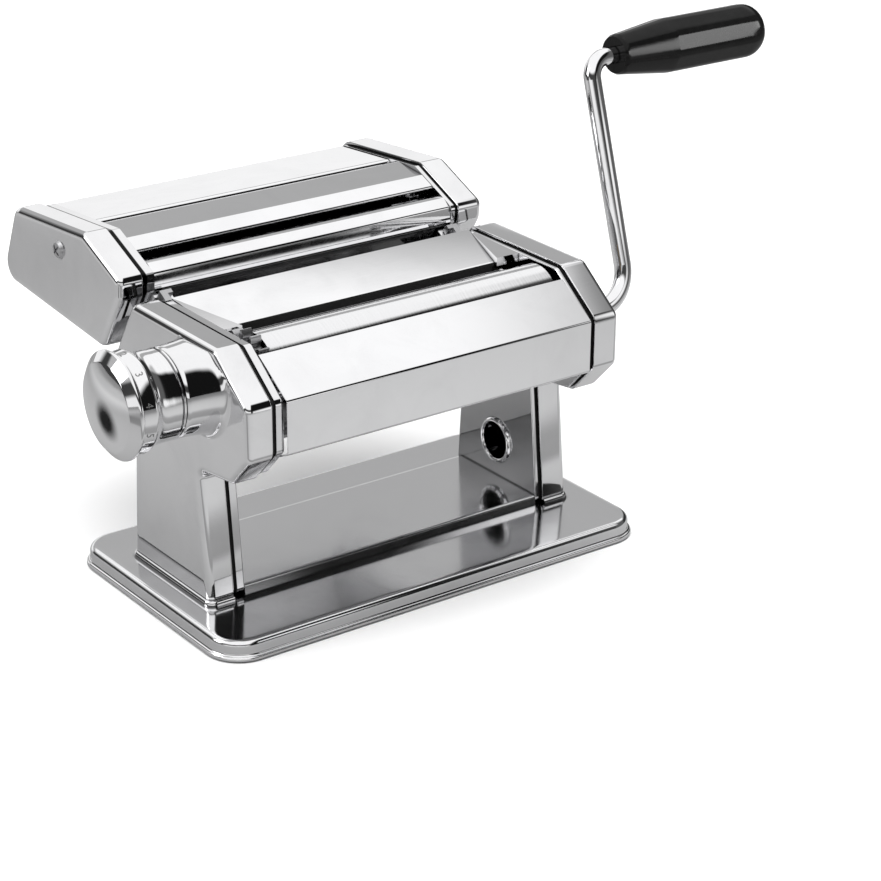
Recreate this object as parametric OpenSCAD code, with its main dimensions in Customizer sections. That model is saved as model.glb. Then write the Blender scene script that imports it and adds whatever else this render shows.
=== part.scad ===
// Hand cranked pasta machine with a clip-on cutter.
// X runs along the rollers with the crank at +X, the front is at -Y, and Z is up.
// The origin lies on the table under the middle of the base.
// Side outlines are lists of [y, z] points, drawn as seen along the rollers.

/* [Base] */
// Width of the base plate along the rollers
base_w = 219; // [208:1:240]
// Depth of the base plate from front to back
base_d = 127; // [115:1:140]
// Height of the base plate's top above the table
base_h = 8.8; // [8:0.1:11]
// Corner radius of the base plate
base_corner = 16; // [12:1:20]
// Thickness of the pressed base sheet
base_sheet = 1.4; // [1:0.1:1.8]
// Width of the lip that runs round the foot of the base
base_lip = 1.6; // [1:0.1:2.5]
// Height of the lip that runs round the foot of the base
base_lip_h = 2.6; // [1.5:0.1:3.5]
// Height that the rubber pad stands below the base sheet
pad_proud = 0.4; // [0.2:0.1:1]
// Rise of the floor plate between the legs
floor_rise = 3.8; // [3:0.1:6]
// Front edge of the floor plate's flat top
floor_front = 20; // [16:1:24]
// Back edge of the floor plate's flat top
floor_back = 31; // [26:1:33]
// Width of the floor plate's sloping front shoulder
floor_shoulder = 13; // [8:1:16]

/* [Side frames] */
// Half the distance between the two inner frames
frame_half = 77; // [74:1:82]
// Sheet thickness of the inner frames
frame_sheet = 1.5; // [1.2:0.1:1.8]
// Sheet thickness of the outer shells and covers
shell_sheet = 1.2; // [1:0.1:1.4]
// Width of frame edge that shows beside the left shell
left_reveal = 6.3; // [4:0.1:8]
// Depth of the left shell and the left cutter cover
left_depth = 11.7; // [11:0.1:14]
// Width of frame edge that shows beside the right shell
right_reveal = 2.9; // [2:0.1:4]
// Depth of the right shell and the right cutter cover
right_depth = 13.4; // [10:0.1:15]
// Rounding between a shell's face and its rim
shell_round = 3; // [2:0.1:3.4]
// Clearance between nested sheets
nest_gap = 0.15; // [0.1:0.05:0.3]
// Height of the head's top above the table
head_top = 125.5; // [124:0.5:130]
// Front face of the head, forward of the middle
head_front = 59; // [56:1:64]
// Upper end of the head's upright front
head_front_top = 107.8; // [104:0.5:110]
// Lower end of the head's upright front
head_front_low = 85; // [80:0.5:88]
// Front end of the head's flat top
top_front = 35.6; // [32:0.5:40]
// Back end of the head's flat top
top_back = 29; // [26:0.5:32]
// Lean of the head's back edge and of the cutter rails
back_lean = 31.7; // [28:0.1:34]
// Length of the head's leaning back edge
back_edge = 32.3; // [30:0.1:36]
// Front edge of the leg at its top
leg_front_top = 21; // [18:0.5:24]
// Front edge of the leg at the base
leg_front_low = 27; // [24:0.5:32]
// Back edge of the leg at its top
leg_back_top = 31; // [28:0.5:34]
// Back edge of the leg at the base
leg_back_low = 35; // [32:0.5:40]
// Height where the legs join the head
leg_top = 68; // [64:0.5:70]
// Flare of the leg's foot
foot_flare = 3.4; // [2:0.1:5]
// Height of the leg's flared foot
foot_flare_h = 5.6; // [4:0.1:8]
// Height of the clamp hole above the table
clamp_z = 30.5; // [28:0.5:40]
// Clamp hole's distance behind the middle
clamp_y = 4.4; // [0:0.2:8]
// Bore of the clamp hole's rim
clamp_bore_d = 17; // [14:0.5:18]
// Outer diameter of the clamp hole's rim
clamp_rim_d = 21.5; // [21.5:0.5:26]
// Diameter of the tie rods
tie_d = 8; // [6:0.5:9]
// Diameter of the leg screws
leg_screw_d = 4; // [3:0.5:5]

/* [Rollers] */
// Diameter of both smooth rollers
roller_d = 30; // [28:0.5:30]
// Widest gap between the rollers
gap_wide = 3; // [2.5:0.1:3.2]
// Narrowest gap between the rollers
gap_fine = 0.3; // [0.2:0.1:0.5]
// Height of the regulator shaft above the table
regulator_z = 108; // [107:0.5:110]
// Regulator shaft's distance forward of the middle
regulator_fwd = 25; // [24:0.5:27]
// Angle above level of the line from drive roller to adjusting roller
nip_angle = 48; // [45:0.5:50]
// Diameter of the drive shaft
drive_shaft_d = 14; // [13:0.5:15]
// Diameter of the adjusting roller's hollow journals
journal_d = 13; // [12.6:0.1:14]
// Radial clearance of a running shaft
run_gap = 0.05; // [0.02:0.01:0.1]
// Clearance between a moving piece and a fixed one
free_gap = 0.4; // [0.3:0.05:0.5]
// Wall thickness of the plain bushes
bush_wall = 1.5; // [1:0.1:2]
// Thickness of the bearing blocks
block_t = 4.2; // [3.5:0.1:4.5]
// Width of the gears
gear_w = 5; // [3:0.5:5]
// Teeth on each roller gear
gear_teeth = 15; // [13:1:15]
// Tooth depth of the roller gears on each side of the pitch circle
gear_tooth = 2.2; // [2:0.05:2.3]
// Distance of each dough guide from the middle
guide_x = 65; // [62:0.5:66]

/* [Regulator] */
// Turn of the knob from the widest to the finest setting
regulator_turn = 270; // [240:10:280]
// Diameter of the regulator shaft
regulator_d = 6; // [5:0.1:6.2]
// Diameter of the scroll discs
scroll_d = 26.4; // [25:0.2:27]
// Thickness of the scroll discs
scroll_t = 3.4; // [3:0.1:3.6]
// Radius of the scroll groove at the widest setting
scroll_r = 7; // [6.8:0.1:7.4]
// Diameter of the pin that rides in the scroll groove
scroll_pin_d = 2.4; // [2:0.1:2.6]
// Length of the fixed collar behind the knob
collar_l = 17; // [14:0.5:20]
// Radius of the collar where it meets the shell
collar_root_r = 22.5; // [21:0.5:24]
// Radius of the knob and collar at the seam between them
knob_waist_r = 18.7; // [18:0.1:20]
// Radius of the knob's rim
knob_rim_r = 22.4; // [22:0.1:25]
// Length of the knob from the seam to its rim
knob_l = 22; // [20:0.5:26]
// Height of the knob's domed cap
knob_cap_h = 7.4; // [5:0.1:8]
// Distance that the knob pulls out
knob_pull = 5; // [4:0.5:5]
// Diameter of the knob spring's wire
spring_wire = 1.2; // [0.8:0.1:1.4]
// Mean radius of the knob spring
spring_r = 5.6; // [5.2:0.1:6.4]
// Turns of the knob spring
spring_turns = 4; // [3:1:5]

/* [Crank] */
// Diameter of the crank rod
crank_d = 8; // [7:0.5:8.5]
// Distance of the crank arm from the middle of the machine
crank_reach = 146; // [135:1:155]
// Length of the crank arm between its two axes
crank_arm = 112; // [95:1:125]
// Backward lean of the crank arm
crank_lean = 17.4; // [0:0.2:30]
// Bend radius at the foot of the crank arm
crank_bend_low = 18; // [14:0.5:22]
// Bend radius at the head of the crank arm
crank_bend_top = 9; // [7:0.5:12]
// Depth that the crank goes into its socket
crank_depth = 20; // [14:1:20]
// Length of the grip
grip_l = 85; // [70:1:95]
// Largest diameter of the grip
grip_d = 26; // [22:0.5:30]
// Diameter of the grip's inner end
grip_neck_d = 19; // [16:0.5:20]

/* [Cutter] */
// Height of the cutting rollers' axes above the table
cutter_axis_z = 121; // [120.5:0.1:121.5]
// Distance of the back feed behind the middle
back_feed = 82.9; // [82.5:0.1:84]
// Distance of the front feed behind the middle
front_feed = 58.1; // [57.8:0.1:58.4]
// Distance between the two cutting rollers of a pair
cutter_mesh = 11; // [10.8:0.05:11.1]
// Diameter over the ridges of a cutting roller
ridge_d = 13; // [12.6:0.1:13.1]
// Width of a broad noodle
broad_cut = 6.5; // [5:0.5:8]
// Width of a thin noodle
thin_cut = 2; // [1.8:0.1:2.4]
// Side clearance between the ridges of two cutting rollers
ridge_gap = 0.12; // [0.08:0.02:0.2]
// Teeth on each cutter gear
cutter_teeth = 8; // [7:1:9]
// Diameter of the cutting rollers' shafts
cutter_shaft_d = 6.5; // [5:0.5:7]
// Wall round the crank socket of a cutting roller
socket_wall = 1.6; // [1.2:0.1:2]
// Width of the rails that hold the cutter
rail_w = 24; // [20:1:26]

/* [Hidden] */
$fn = 48;

chrome = "silver";
steel = "lightgray";
bronze = "goldenrod";
rubber = "dimgray";
plastic = [0.08, 0.08, 0.08];

// Positions along the rollers, measured outwards from the middle on either side
web_out = frame_half + frame_sheet;
left_edge = frame_half + left_reveal;
left_face = left_edge + left_depth;
right_edge = frame_half + right_reveal;
right_face = right_edge + right_depth;
frame_inset = shell_sheet + nest_gap;
lip_past_bend = 0.4;
left_lip = left_face - shell_round + lip_past_bend;
right_lip = right_face - shell_round + lip_past_bend;
panel_half = frame_half - nest_gap;

// Side outline of the head and leg
back_low_y = top_back + back_edge * sin(back_lean);
back_low_z = head_top - back_edge * cos(back_lean);
back_drop = 14;
chin_drop = 14;
chin_in = 13.5;
head_outline = [
    [top_back, head_top],
    [-top_front, head_top],
    [-head_front, head_front_top],
    [-head_front, head_front_low],
    [-head_front + chin_in, head_front_low - chin_drop],
    [-leg_front_top, leg_top],
    [-leg_front_low, base_h],
    [leg_back_low, base_h],
    [leg_back_top, leg_top + 2],
    [back_low_y, back_low_z - back_drop],
    [back_low_y, back_low_z]
];
corner_r = 5;
leg_corner_r = 4;
head_radii = [corner_r, corner_r, corner_r, corner_r, corner_r, leg_corner_r,
    leg_corner_r, leg_corner_r, leg_corner_r, corner_r, corner_r];

// Roller axes in the side view, with the regulator shaft midway along the travel
travel = gap_wide - gap_fine;
nip = [-cos(nip_angle), sin(nip_angle)];
across = [-nip[1], nip[0]];
regulator = [-regulator_fwd, regulator_z];
adjust = regulator + nip * travel / 2;
drive = adjust - nip * (roller_d + gap_wide);
roller_r = roller_d / 2;
drive_r = drive_shaft_d / 2;
journal_r = journal_d / 2;
journal_bore_r = regulator_d / 2 + travel / 2 + free_gap;

// Lengthwise layout of the roller set
block_x = web_out + nest_gap;
block_out = block_x + block_t;
scroll_x = block_out + 0.8;
scroll_out = scroll_x + scroll_t;
barrel_right = frame_half - 2.5;
gear_side_gap = 0.8;
gear_pitch_r = (roller_d + gap_fine) / 2;
gear_tip_r = gear_pitch_r + gear_tooth;
gear_x0 = -(frame_half - 1.6);
gear_x1 = gear_x0 + gear_w;
barrel_left = gear_x1 + gear_side_gap;

// Side outline of the cutter
cutter_outline = [
    [130, 140.2], [68, 145], [38.5, 132.4], [39.4, 123.7], [55.5, 97.2], [141, 104.2], [141.5, 114]
];
cutter_radii = [8, 5, 4, 4, 5, 8.5, 8.5];
pair_half = cutter_mesh / 2;
ridge_r = ridge_d / 2;
groove_r = cutter_mesh - ridge_r - free_gap;
cutter_shaft_r = cutter_shaft_d / 2;
cut_half = frame_half - 8;

// The crank's path in the side view
arm_dir = [sin(crank_lean), cos(crank_lean)];
crank_top = drive + arm_dir * crank_arm;
crank_r = crank_d / 2;
socket_mouth = right_face + 1.2;
crank_end = socket_mouth - crank_depth;
grip_x = crank_reach + crank_bend_top + 5.5;
grip_bore_r = crank_r - 0.4;

// The knob's layout, measured outwards from the left shell's face
collar_end = left_face + collar_l;
knob_start = collar_end + free_gap;
knob_rim = collar_end + knob_l;
collar_wall = 1.6;
collar_spigot_r = 13.5;
knob_wall = 5;
detent_pcd = 26;
detent_r = 1.4;
spring_seat = knob_start + knob_wall;
spring_l = 10;
screw_head_x = spring_seat + spring_l + 0.4;

function unit(v) = v / norm(v);
function left_turn(a, b, c) = (b[0] - a[0]) * (c[1] - b[1]) - (b[1] - a[1]) * (c[0] - b[0]) > 0;
function arc_angle(v) = atan2(v[1], v[0]);
function near_angle(a, b) = b + 360 * round((a - b) / 360);

// Points round one filleted corner b between a and c, moved in by inset
function corner(a, b, c, r, inset, steps) =
    let (u = unit(a - b), w = unit(c - b))
    let (half = acos(u * w) / 2)
    let (middle = b + unit(u + w) * r / sin(half))
    let (rr = left_turn(a, b, c) ? r - inset : r + inset)
    let (a0 = arc_angle(b + u * r / tan(half) - middle))
    let (a1 = near_angle(a0, arc_angle(b + w * r / tan(half) - middle)))
    [for (i = [0 : steps]) let (t = a0 + (a1 - a0) * i / steps) middle + rr * [cos(t), sin(t)]];

// A closed outline with filleted corners, given anticlockwise
function rounded(pts, radii, inset = 0, steps = 5) =
    let (n = len(pts))
    [for (i = [0 : n - 1])
        each corner(pts[(i + n - 1) % n], pts[i], pts[(i + 1) % n], radii[i], inset, steps)];

// A slot with round ends, just clear of a circle of radius r that slides back by l
function stadium(r, l, steps = 16) =
    let (rr = r / cos(90 / steps))
    concat(
        [for (i = [0 : steps]) let (a = 90 + 180 * i / steps) [rr * cos(a) - l, rr * sin(a)]],
        [for (i = [0 : steps]) let (a = -90 + 180 * i / steps) [rr * cos(a), rr * sin(a)]]
    );

function at_x(x, ring) = [for (p = ring) [x, p[0], p[1]]];
function at_z(z, ring) = [for (p = ring) [p[0], p[1], z]];

// A solid skinned over rings that all have the same number of points
module loft(rings) {
    n = len(rings[0]);
    last = len(rings) - 1;
    polyhedron(
        points = [for (r = rings) each r],
        faces = concat(
            [[for (i = [0 : n - 1]) i]],
            [for (k = [0 : last - 1], i = [0 : n - 1]) [k * n + i, (k + 1) * n + i, (k + 1) * n + (i + 1) % n]],
            [for (k = [0 : last - 1], i = [0 : n - 1])
                [k * n + i, (k + 1) * n + (i + 1) % n, k * n + (i + 1) % n]],
            [[for (i = [n - 1 : -1 : 0]) last * n + i]]
        ),
        convexity = 6
    );
}

// A pressed lid whose rim starts at edge_x and whose rounded face ends at face_x
module pressed_lid(pts, radii, edge_x, face_x) {
    steps = 4;
    inner_r = shell_round - shell_sheet;
    turn_x = face_x - shell_round;
    loft(concat(
        [for (k = [steps : -1 : 0]) let (a = 90 * k / steps)
            at_x(turn_x + inner_r * sin(a), rounded(pts, radii, shell_round - inner_r * cos(a)))],
        [at_x(edge_x, rounded(pts, radii, shell_sheet))],
        [at_x(edge_x, rounded(pts, radii, 0))],
        [for (k = [0 : steps]) let (a = 90 * k / steps)
            at_x(turn_x + shell_round * sin(a), rounded(pts, radii, shell_round * (1 - cos(a))))]
    ));
}

// A side-view shape drawn along the rollers from x0 to x1
module along(x0, x1) {
    translate([x0, 0, 0])
        rotate([90, 0, 90])
            linear_extrude(height = x1 - x0)
                children();
}

// A round bar along the rollers at side-view place p
module bar(p, r, x0, x1) {
    translate([x0, p[0], p[1]])
        rotate([0, 90, 0])
            cylinder(r = r, h = x1 - x0);
}

// A turned shape along the rollers, from [radius, x] points
module turned(p, pts) {
    translate([0, p[0], p[1]])
        rotate([0, 90, 0])
            rotate_extrude()
                polygon(pts);
}

// A sheet bent along a side-view line, with the sheet on its right-hand side
module bent_sheet(pts, t, half) {
    n = len(pts);
    normals = [for (i = [0 : n - 2]) let (d = unit(pts[i + 1] - pts[i])) [d[1], -d[0]]];
    inner = [for (i = [0 : n - 1])
        let (a = normals[max(i - 1, 0)], b = normals[min(i, n - 2)])
        pts[i] + (a + b) * t / (1 + a * b)];
    along(-half, half)
        polygon(concat(pts, [for (i = [n - 1 : -1 : 0]) inner[i]]));
}

// Both sides of the machine at once
module both_sides() {
    children();
    mirror([1, 0, 0])
        children();
}

// A flanged frame: a flat web with a rim turned outwards
module flanged_frame(pts, radii, lip_x) {
    difference() {
        along(frame_half, lip_x)
            polygon(rounded(pts, radii, frame_inset));
        along(web_out, lip_x + 1)
            polygon(rounded(pts, radii, frame_inset + frame_sheet));
    }
}

// A gear outline with involute flanks
function involute(rb, t) = rb * [cos(t) + t * PI / 180 * sin(t), sin(t) - t * PI / 180 * cos(t)];
function spun(p, a) = [p[0] * cos(a) - p[1] * sin(a), p[0] * sin(a) + p[1] * cos(a)];
function roll_at(rb, r) = sqrt(max(0, pow(r / rb, 2) - 1)) * 180 / PI;
function gear_points(teeth, pitch_r, tip_r, root_r, play) =
    let (rb = pitch_r * cos(20), steps = 5)
    let (low = max(rb, root_r))
    let (at_pitch = arc_angle(involute(rb, roll_at(rb, pitch_r))))
    let (half = 90 / teeth - play / pitch_r * 90 / PI)
    let (flank = [for (i = [0 : steps]) let (r = low + (tip_r - low) * i / steps)
        spun(involute(rb, roll_at(rb, r)), -at_pitch - half)])
    [for (k = [0 : teeth - 1]) let (a = 360 * k / teeth)
        each concat(
            [spun(unit(flank[0]) * root_r, a)],
            [for (p = flank) spun(p, a)],
            [for (i = [steps : -1 : 0]) spun([flank[i][0], -flank[i][1]], a)],
            [spun(unit([flank[0][0], -flank[0][1]]) * root_r, a)]
        )];

root_gap = 0.35;

module gear(p, teeth, pitch_r, depth, play, bore_r, x0, x1, phase) {
    difference() {
        along(x0, x1)
            translate(p)
                rotate(phase)
                    polygon(gear_points(teeth, pitch_r, pitch_r + depth, pitch_r - depth - root_gap, play));
        bar(p, bore_r, x0 - 1, x1 + 1);
    }
}

// Base: a pressed tray with a stepped rim, a pad under it and a floor plate on it
function base_ring(inset) =
    let (w = base_w / 2, d = base_d / 2)
    rounded([[-w, -d], [w, -d], [w, d], [-w, d]], [for (i = [1 : 4]) base_corner], inset, 6);

base_shoulder = 2.2;
base_fillet = 1.6;

module base_plate() {
    top_in = base_lip + base_shoulder;
    color(chrome)
        difference() {
            loft([
                at_z(base_h - base_sheet, base_ring(top_in + base_sheet)),
                at_z(base_h - base_fillet - base_sheet, base_ring(base_lip + base_sheet)),
                at_z(base_lip_h, base_ring(base_lip + base_sheet)),
                at_z(pad_proud, base_ring(base_sheet)),
                at_z(pad_proud, base_ring(0)),
                at_z(base_lip_h - base_sheet / 2, base_ring(0)),
                at_z(base_lip_h, base_ring(base_lip / 2)),
                at_z(base_lip_h + base_sheet / 2, base_ring(base_lip)),
                at_z(base_h - base_fillet, base_ring(base_lip)),
                at_z(base_h - base_fillet / 3, base_ring(base_lip + base_fillet / 3)),
                at_z(base_h, base_ring(top_in))
            ]);
            leg_screw_places()
                cylinder(d = leg_screw_d, h = base_h + 1);
        }
}

module base_pad() {
    screw_room = 4;
    color(rubber)
        difference() {
            linear_extrude(height = base_h - base_sheet - nest_gap)
                polygon(base_ring(base_lip + base_shoulder + base_sheet + nest_gap));
            leg_screw_places()
                translate([0, 0, base_h - base_sheet - screw_room])
                    cylinder(d = leg_screw_d * 2 + 1, h = screw_room);
        }
}

module floor_plate() {
    front = -floor_front - floor_shoulder;
    top = base_h + floor_rise;
    color(chrome)
        along(-panel_half, panel_half)
            polygon([
                [front, base_h], [floor_back + floor_rise, base_h], [floor_back + floor_rise * 0.9, top - floor_rise / 2],
                [floor_back, top], [-floor_front, top], [-floor_front - floor_shoulder * 0.45, top - floor_rise * 0.22],
                [-floor_front - floor_shoulder * 0.8, top - floor_rise * 0.6]
            ]);
}

// The four places where screws come up through the base into the legs
module leg_screw_places() {
    for (x = [-left_edge - 4.5, right_edge + 4.5], y = [-leg_front_low + 12, leg_back_low - 12])
        translate([x, y, 0])
            children();
}

module leg_screws() {
    head_h = 2.4;
    low = base_h - base_sheet - head_h;
    color(steel)
        leg_screw_places()
            difference() {
                union() {
                    translate([0, 0, low])
                        cylinder(d = leg_screw_d * 1.9, h = head_h);
                    translate([0, 0, low + head_h])
                        cylinder(d = leg_screw_d, h = base_sheet + frame_inset + frame_sheet + 2.5);
                }
                translate([-leg_screw_d, -0.5, low - 1])
                    cube([leg_screw_d * 2, 1, 1.9]);
            }
}

// Side frames and shells
// Flared foot where a leg's outer face meets the base
module foot(face_x) {
    front = -leg_front_low + leg_corner_r;
    back = leg_back_low - leg_corner_r;
    translate([0, back, 0])
        rotate([90, 0, 0])
            linear_extrude(height = back - front)
                polygon([
                    [face_x, base_h], [face_x + foot_flare, base_h], [face_x + foot_flare, base_h + 0.8],
                    [face_x + foot_flare * 0.35, base_h + foot_flare_h * 0.45], [face_x, base_h + foot_flare_h]
                ]);
}

module outer_shell(edge_x, face_x) {
    pressed_lid(head_outline, head_radii, edge_x, face_x);
    foot(face_x - shell_sheet / 2);
}

module leg_screw_holes() {
    leg_screw_places()
        cylinder(d = leg_screw_d, h = base_h + frame_inset + frame_sheet + 1);
}

module left_outer_shell() {
    color(chrome)
        difference() {
            mirror([1, 0, 0])
                outer_shell(left_edge, left_face);
            bar(regulator, collar_spigot_r, -left_face - 1, -left_face + shell_sheet + 2);
            leg_screw_holes();
        }
}

module right_outer_shell() {
    color(chrome)
        difference() {
            outer_shell(right_edge, right_face);
            bar(drive, crank_hole_r, right_face - shell_round, right_face + 1);
            bar(regulator, regulator_d / 2 + bush_wall, right_face - shell_round, right_face + 1);
            leg_screw_holes();
        }
}

tie_places = [[36, 96], [-46, 90]];
tie_thread_r = tie_d / 2 - 1;

module inner_frame(lip_x) {
    difference() {
        flanged_frame(head_outline, head_radii, lip_x);
        bar(drive, drive_r + bush_wall, frame_half - 1, web_out + 1);
        along(frame_half - 1, web_out + 1)
            block_frame()
                polygon(stadium(journal_r + free_gap, travel));
        for (p = tie_places)
            bar(p, tie_thread_r, frame_half - 1, web_out + 1);
    }
}

module left_inner_frame() {
    color(chrome)
        difference() {
            mirror([1, 0, 0])
                inner_frame(left_lip);
            leg_screw_holes();
        }
}

module right_inner_frame() {
    color(chrome)
        difference() {
            inner_frame(right_lip);
            bar([clamp_y, clamp_z], clamp_bore_d / 2 + frame_sheet, frame_half - 1, web_out + 1);
            leg_screw_holes();
        }
}

clamp_rim_l = 9;

module clamp_hole_rim() {
    outer = clamp_bore_d / 2 + frame_sheet;
    color(chrome)
        turned([clamp_y, clamp_z], [
            [clamp_bore_d / 2, frame_half - 0.8], [clamp_bore_d / 2 + 0.8, frame_half - 1.6],
            [clamp_rim_d / 2 - 0.6, frame_half - 1.2], [clamp_rim_d / 2, frame_half],
            [outer, frame_half], [outer, frame_half + clamp_rim_l], [clamp_bore_d / 2, frame_half + clamp_rim_l]
        ]);
}

// Panels of the head
panel_sheet = 1.2;
panel_front = head_front + 1;
panel_back = 39.5;
panel_back_z = head_top - 4.7;

relief = 1.6;

// The front panel, with a corner cut out of its top edge over the gear
module front_panel() {
    color(chrome)
        difference() {
            bent_sheet([
                [-panel_back, panel_back_z], [-panel_front, head_front_top],
                [-panel_front, head_front_low - 0.4], [-panel_front + 7, head_front_low - 3.4]
            ], -panel_sheet, panel_half);
            bar(adjust, gear_tip_r + relief, -frame_half, barrel_left);
        }
}

hopper_back_z = head_top - 0.7;
hopper_edge = 9;
hopper_edge_z = head_top - 4.8;
wing_rise = 3.2;

// The back hopper plate, with two wings that tilt up to the frames
module hopper_plate() {
    back = top_back - 2;
    t = [0, 0, -panel_sheet];
    wing_back = [panel_half, back, hopper_back_z];
    wing_low = [guide_x, -hopper_edge, hopper_edge_z];
    wing_side = [panel_half, -hopper_edge, hopper_edge_z + wing_rise];
    lip = 9;
    color(chrome)
        union() {
            polyhedron(
                points = [
                    wing_back, wing_low, [-guide_x, -hopper_edge, hopper_edge_z], [-panel_half, back, hopper_back_z],
                    wing_back + t, wing_low + t, [-guide_x, -hopper_edge, hopper_edge_z] + t,
                    [-panel_half, back, hopper_back_z] + t
                ],
                faces = [[0, 1, 2, 3], [7, 6, 5, 4], [4, 5, 1, 0], [5, 6, 2, 1], [6, 7, 3, 2], [7, 4, 0, 3]]
            );
            both_sides()
                polyhedron(
                    points = [wing_back, wing_side, wing_low, wing_back + t, wing_side + t, wing_low + t],
                    faces = [[0, 1, 2], [5, 4, 3], [3, 4, 1, 0], [4, 5, 2, 1], [5, 3, 0, 2]]
                );
            translate([0, back, hopper_back_z])
                rotate([back_lean, 0, 0])
                    translate([-rail_in + nest_gap, -panel_sheet, -lip])
                        cube([2 * (rail_in - nest_gap), panel_sheet, lip]);
        }
}

// Room that both rollers or gears of radius r need over the whole travel of the adjusting roller
module roller_room(r, x0, x1) {
    bar(drive, r + free_gap, x0, x1);
    along(x0, x1)
        block_frame()
            polygon(stadium(r + free_gap, travel));
}

module gear_room() {
    roller_room(gear_tip_r, -frame_half, barrel_left);
}

guide_sheet = 1.4;

module dough_guide() {
    top = hopper_edge_z - panel_sheet - nest_gap;
    difference() {
        union() {
            along(guide_x, guide_x + guide_sheet)
                polygon([[-panel_back + 3, top], [12, top], [18, 104], [2, 98], [-panel_back + 2.2, 111]]);
            along(guide_x, panel_half)
                polygon([[12, top], [18, 104], [18 - guide_sheet, 104], [12 - guide_sheet, top]]);
        }
        roller_room(roller_r, guide_x - 1, frame_half);
    }
}

module left_dough_guide() {
    color(chrome)
        mirror([1, 0, 0])
            dough_guide();
}

module right_dough_guide() {
    color(chrome)
        dough_guide();
}

// Blades that strip the dough off the undersides of the rollers
scraper_sheet = 1;

module scraper(roller, past_nip, t) {
    reach = 16;
    angle = arc_angle(roller == drive ? nip : -nip) + past_nip;
    lean = past_nip > 0 ? 62 : -62;
    tip = roller + (roller_r + free_gap) * [cos(angle), sin(angle)];
    difference() {
        bent_sheet([tip, tip + reach * [cos(angle + lean), sin(angle + lean)]], t, panel_half);
        gear_room();
    }
}

module front_scraper() {
    color(steel)
        scraper(adjust - nip * travel, -30, -scraper_sheet);
}

module rear_scraper() {
    color(steel)
        scraper(drive, 30, scraper_sheet);
}

module tie_rods() {
    color(steel)
        for (p = tie_places) {
            bar(p, tie_d / 2, -frame_half, frame_half);
            bar(p, tie_thread_r, -web_out - 5, -frame_half);
            bar(p, tie_thread_r, frame_half, web_out + 5);
        }
}

module tie_rod_nuts() {
    color(steel)
        both_sides()
            for (p = tie_places)
                difference() {
                    translate([web_out, p[0], p[1]])
                        rotate([0, 90, 0])
                            cylinder(r = tie_d * 0.75, h = 4, $fn = 6);
                    bar(p, tie_thread_r, web_out - 1, web_out + 6);
                }
}

module drive_bushes() {
    flange = 1.2;
    color(bronze)
        both_sides()
            turned(drive, [
                [drive_r + run_gap, frame_half], [drive_r + bush_wall, frame_half],
                [drive_r + bush_wall, web_out], [drive_r + bush_wall + 2, web_out],
                [drive_r + bush_wall + 2, web_out + flange], [drive_r + run_gap, web_out + flange]
            ]);
}

// Guides, blocks and bushes that carry the adjusting roller
block_r = journal_r + bush_wall + 2.3;
block_tail = 13;
guide_bar_w = 4.4;

module block_frame() {
    translate(adjust)
        rotate(arc_angle(nip))
            children();
}

module block_guides() {
    color(steel)
        both_sides()
            along(web_out, block_out)
                block_frame()
                    for (side = [-1, 1])
                        translate([-block_tail - travel, side > 0 ? block_r + run_gap : -block_r - run_gap - guide_bar_w])
                            square([block_tail + travel + 1, guide_bar_w]);
}

module bearing_block() {
    difference() {
        union() {
            bar(adjust, block_r, block_x, block_out);
            along(block_x, block_out)
                block_frame()
                    translate([-block_tail, -block_r])
                        square([block_tail, 2 * block_r]);
        }
        bar(adjust, journal_r + bush_wall, block_x - 1, block_out + 1);
    }
}

module left_bearing_block() {
    color(steel)
        mirror([1, 0, 0])
            bearing_block();
}

module right_bearing_block() {
    color(steel)
        bearing_block();
}

module block_bushes() {
    color(bronze)
        both_sides()
            turned(adjust, [
                [journal_r + run_gap, block_x], [journal_r + bush_wall, block_x],
                [journal_r + bush_wall, block_out], [journal_r + run_gap, block_out]
            ]);
}

scroll_pin_l = 3.2;

module scroll_pins() {
    color(steel)
        both_sides()
            bar(regulator - nip * scroll_r, scroll_pin_d / 2, block_out, scroll_x - 0.1 + scroll_pin_l);
}

// Smooth rollers, shafts and their gears
module drive_roller() {
    color(chrome)
        difference() {
            bar(drive, roller_r, barrel_left, barrel_right);
            bar(drive, drive_r, barrel_left - 1, barrel_right + 1);
        }
}

module drive_shaft() {
    color(steel)
        difference() {
            bar(drive, drive_r, -web_out - 3, socket_mouth);
            crank_socket(drive);
        }
}

crank_pin_r = 1.4;
crank_pin_in = 2.8;
pin_slot_l = 5.6;

// A bore for the crank with a slot across its mouth for the crank's pin
module crank_socket(p) {
    slot = 2 * (crank_pin_r + 0.3);
    bar(p, crank_r + run_gap, crank_end - 2, socket_mouth + 1);
    translate([socket_mouth - pin_slot_l, p[0], p[1]])
        rotate([-crank_lean, 0, 0])
            translate([0, -slot / 2, -drive_r - 1])
                cube([pin_slot_l + 1, slot, drive_shaft_d + 2]);
}

module adjusting_roller() {
    color(chrome)
        difference() {
            union() {
                bar(adjust, roller_r, barrel_left, barrel_right);
                bar(adjust, journal_r, -block_out + 0.2, block_out - 0.2);
            }
            bar(adjust, journal_bore_r, -block_out - 1, block_out + 1);
        }
}

gear_play = 0.5;
gear_line = arc_angle(nip);

module drive_gear() {
    color(steel)
        gear(drive, gear_teeth, gear_pitch_r, gear_tooth, gear_play, drive_r, gear_x0, gear_x1, gear_line);
}

module driven_gear() {
    color(steel)
        gear(adjust, gear_teeth, gear_pitch_r, gear_tooth, gear_play, journal_r, gear_x0, gear_x1,
            gear_line + 180 + 180 / gear_teeth);
}

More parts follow.
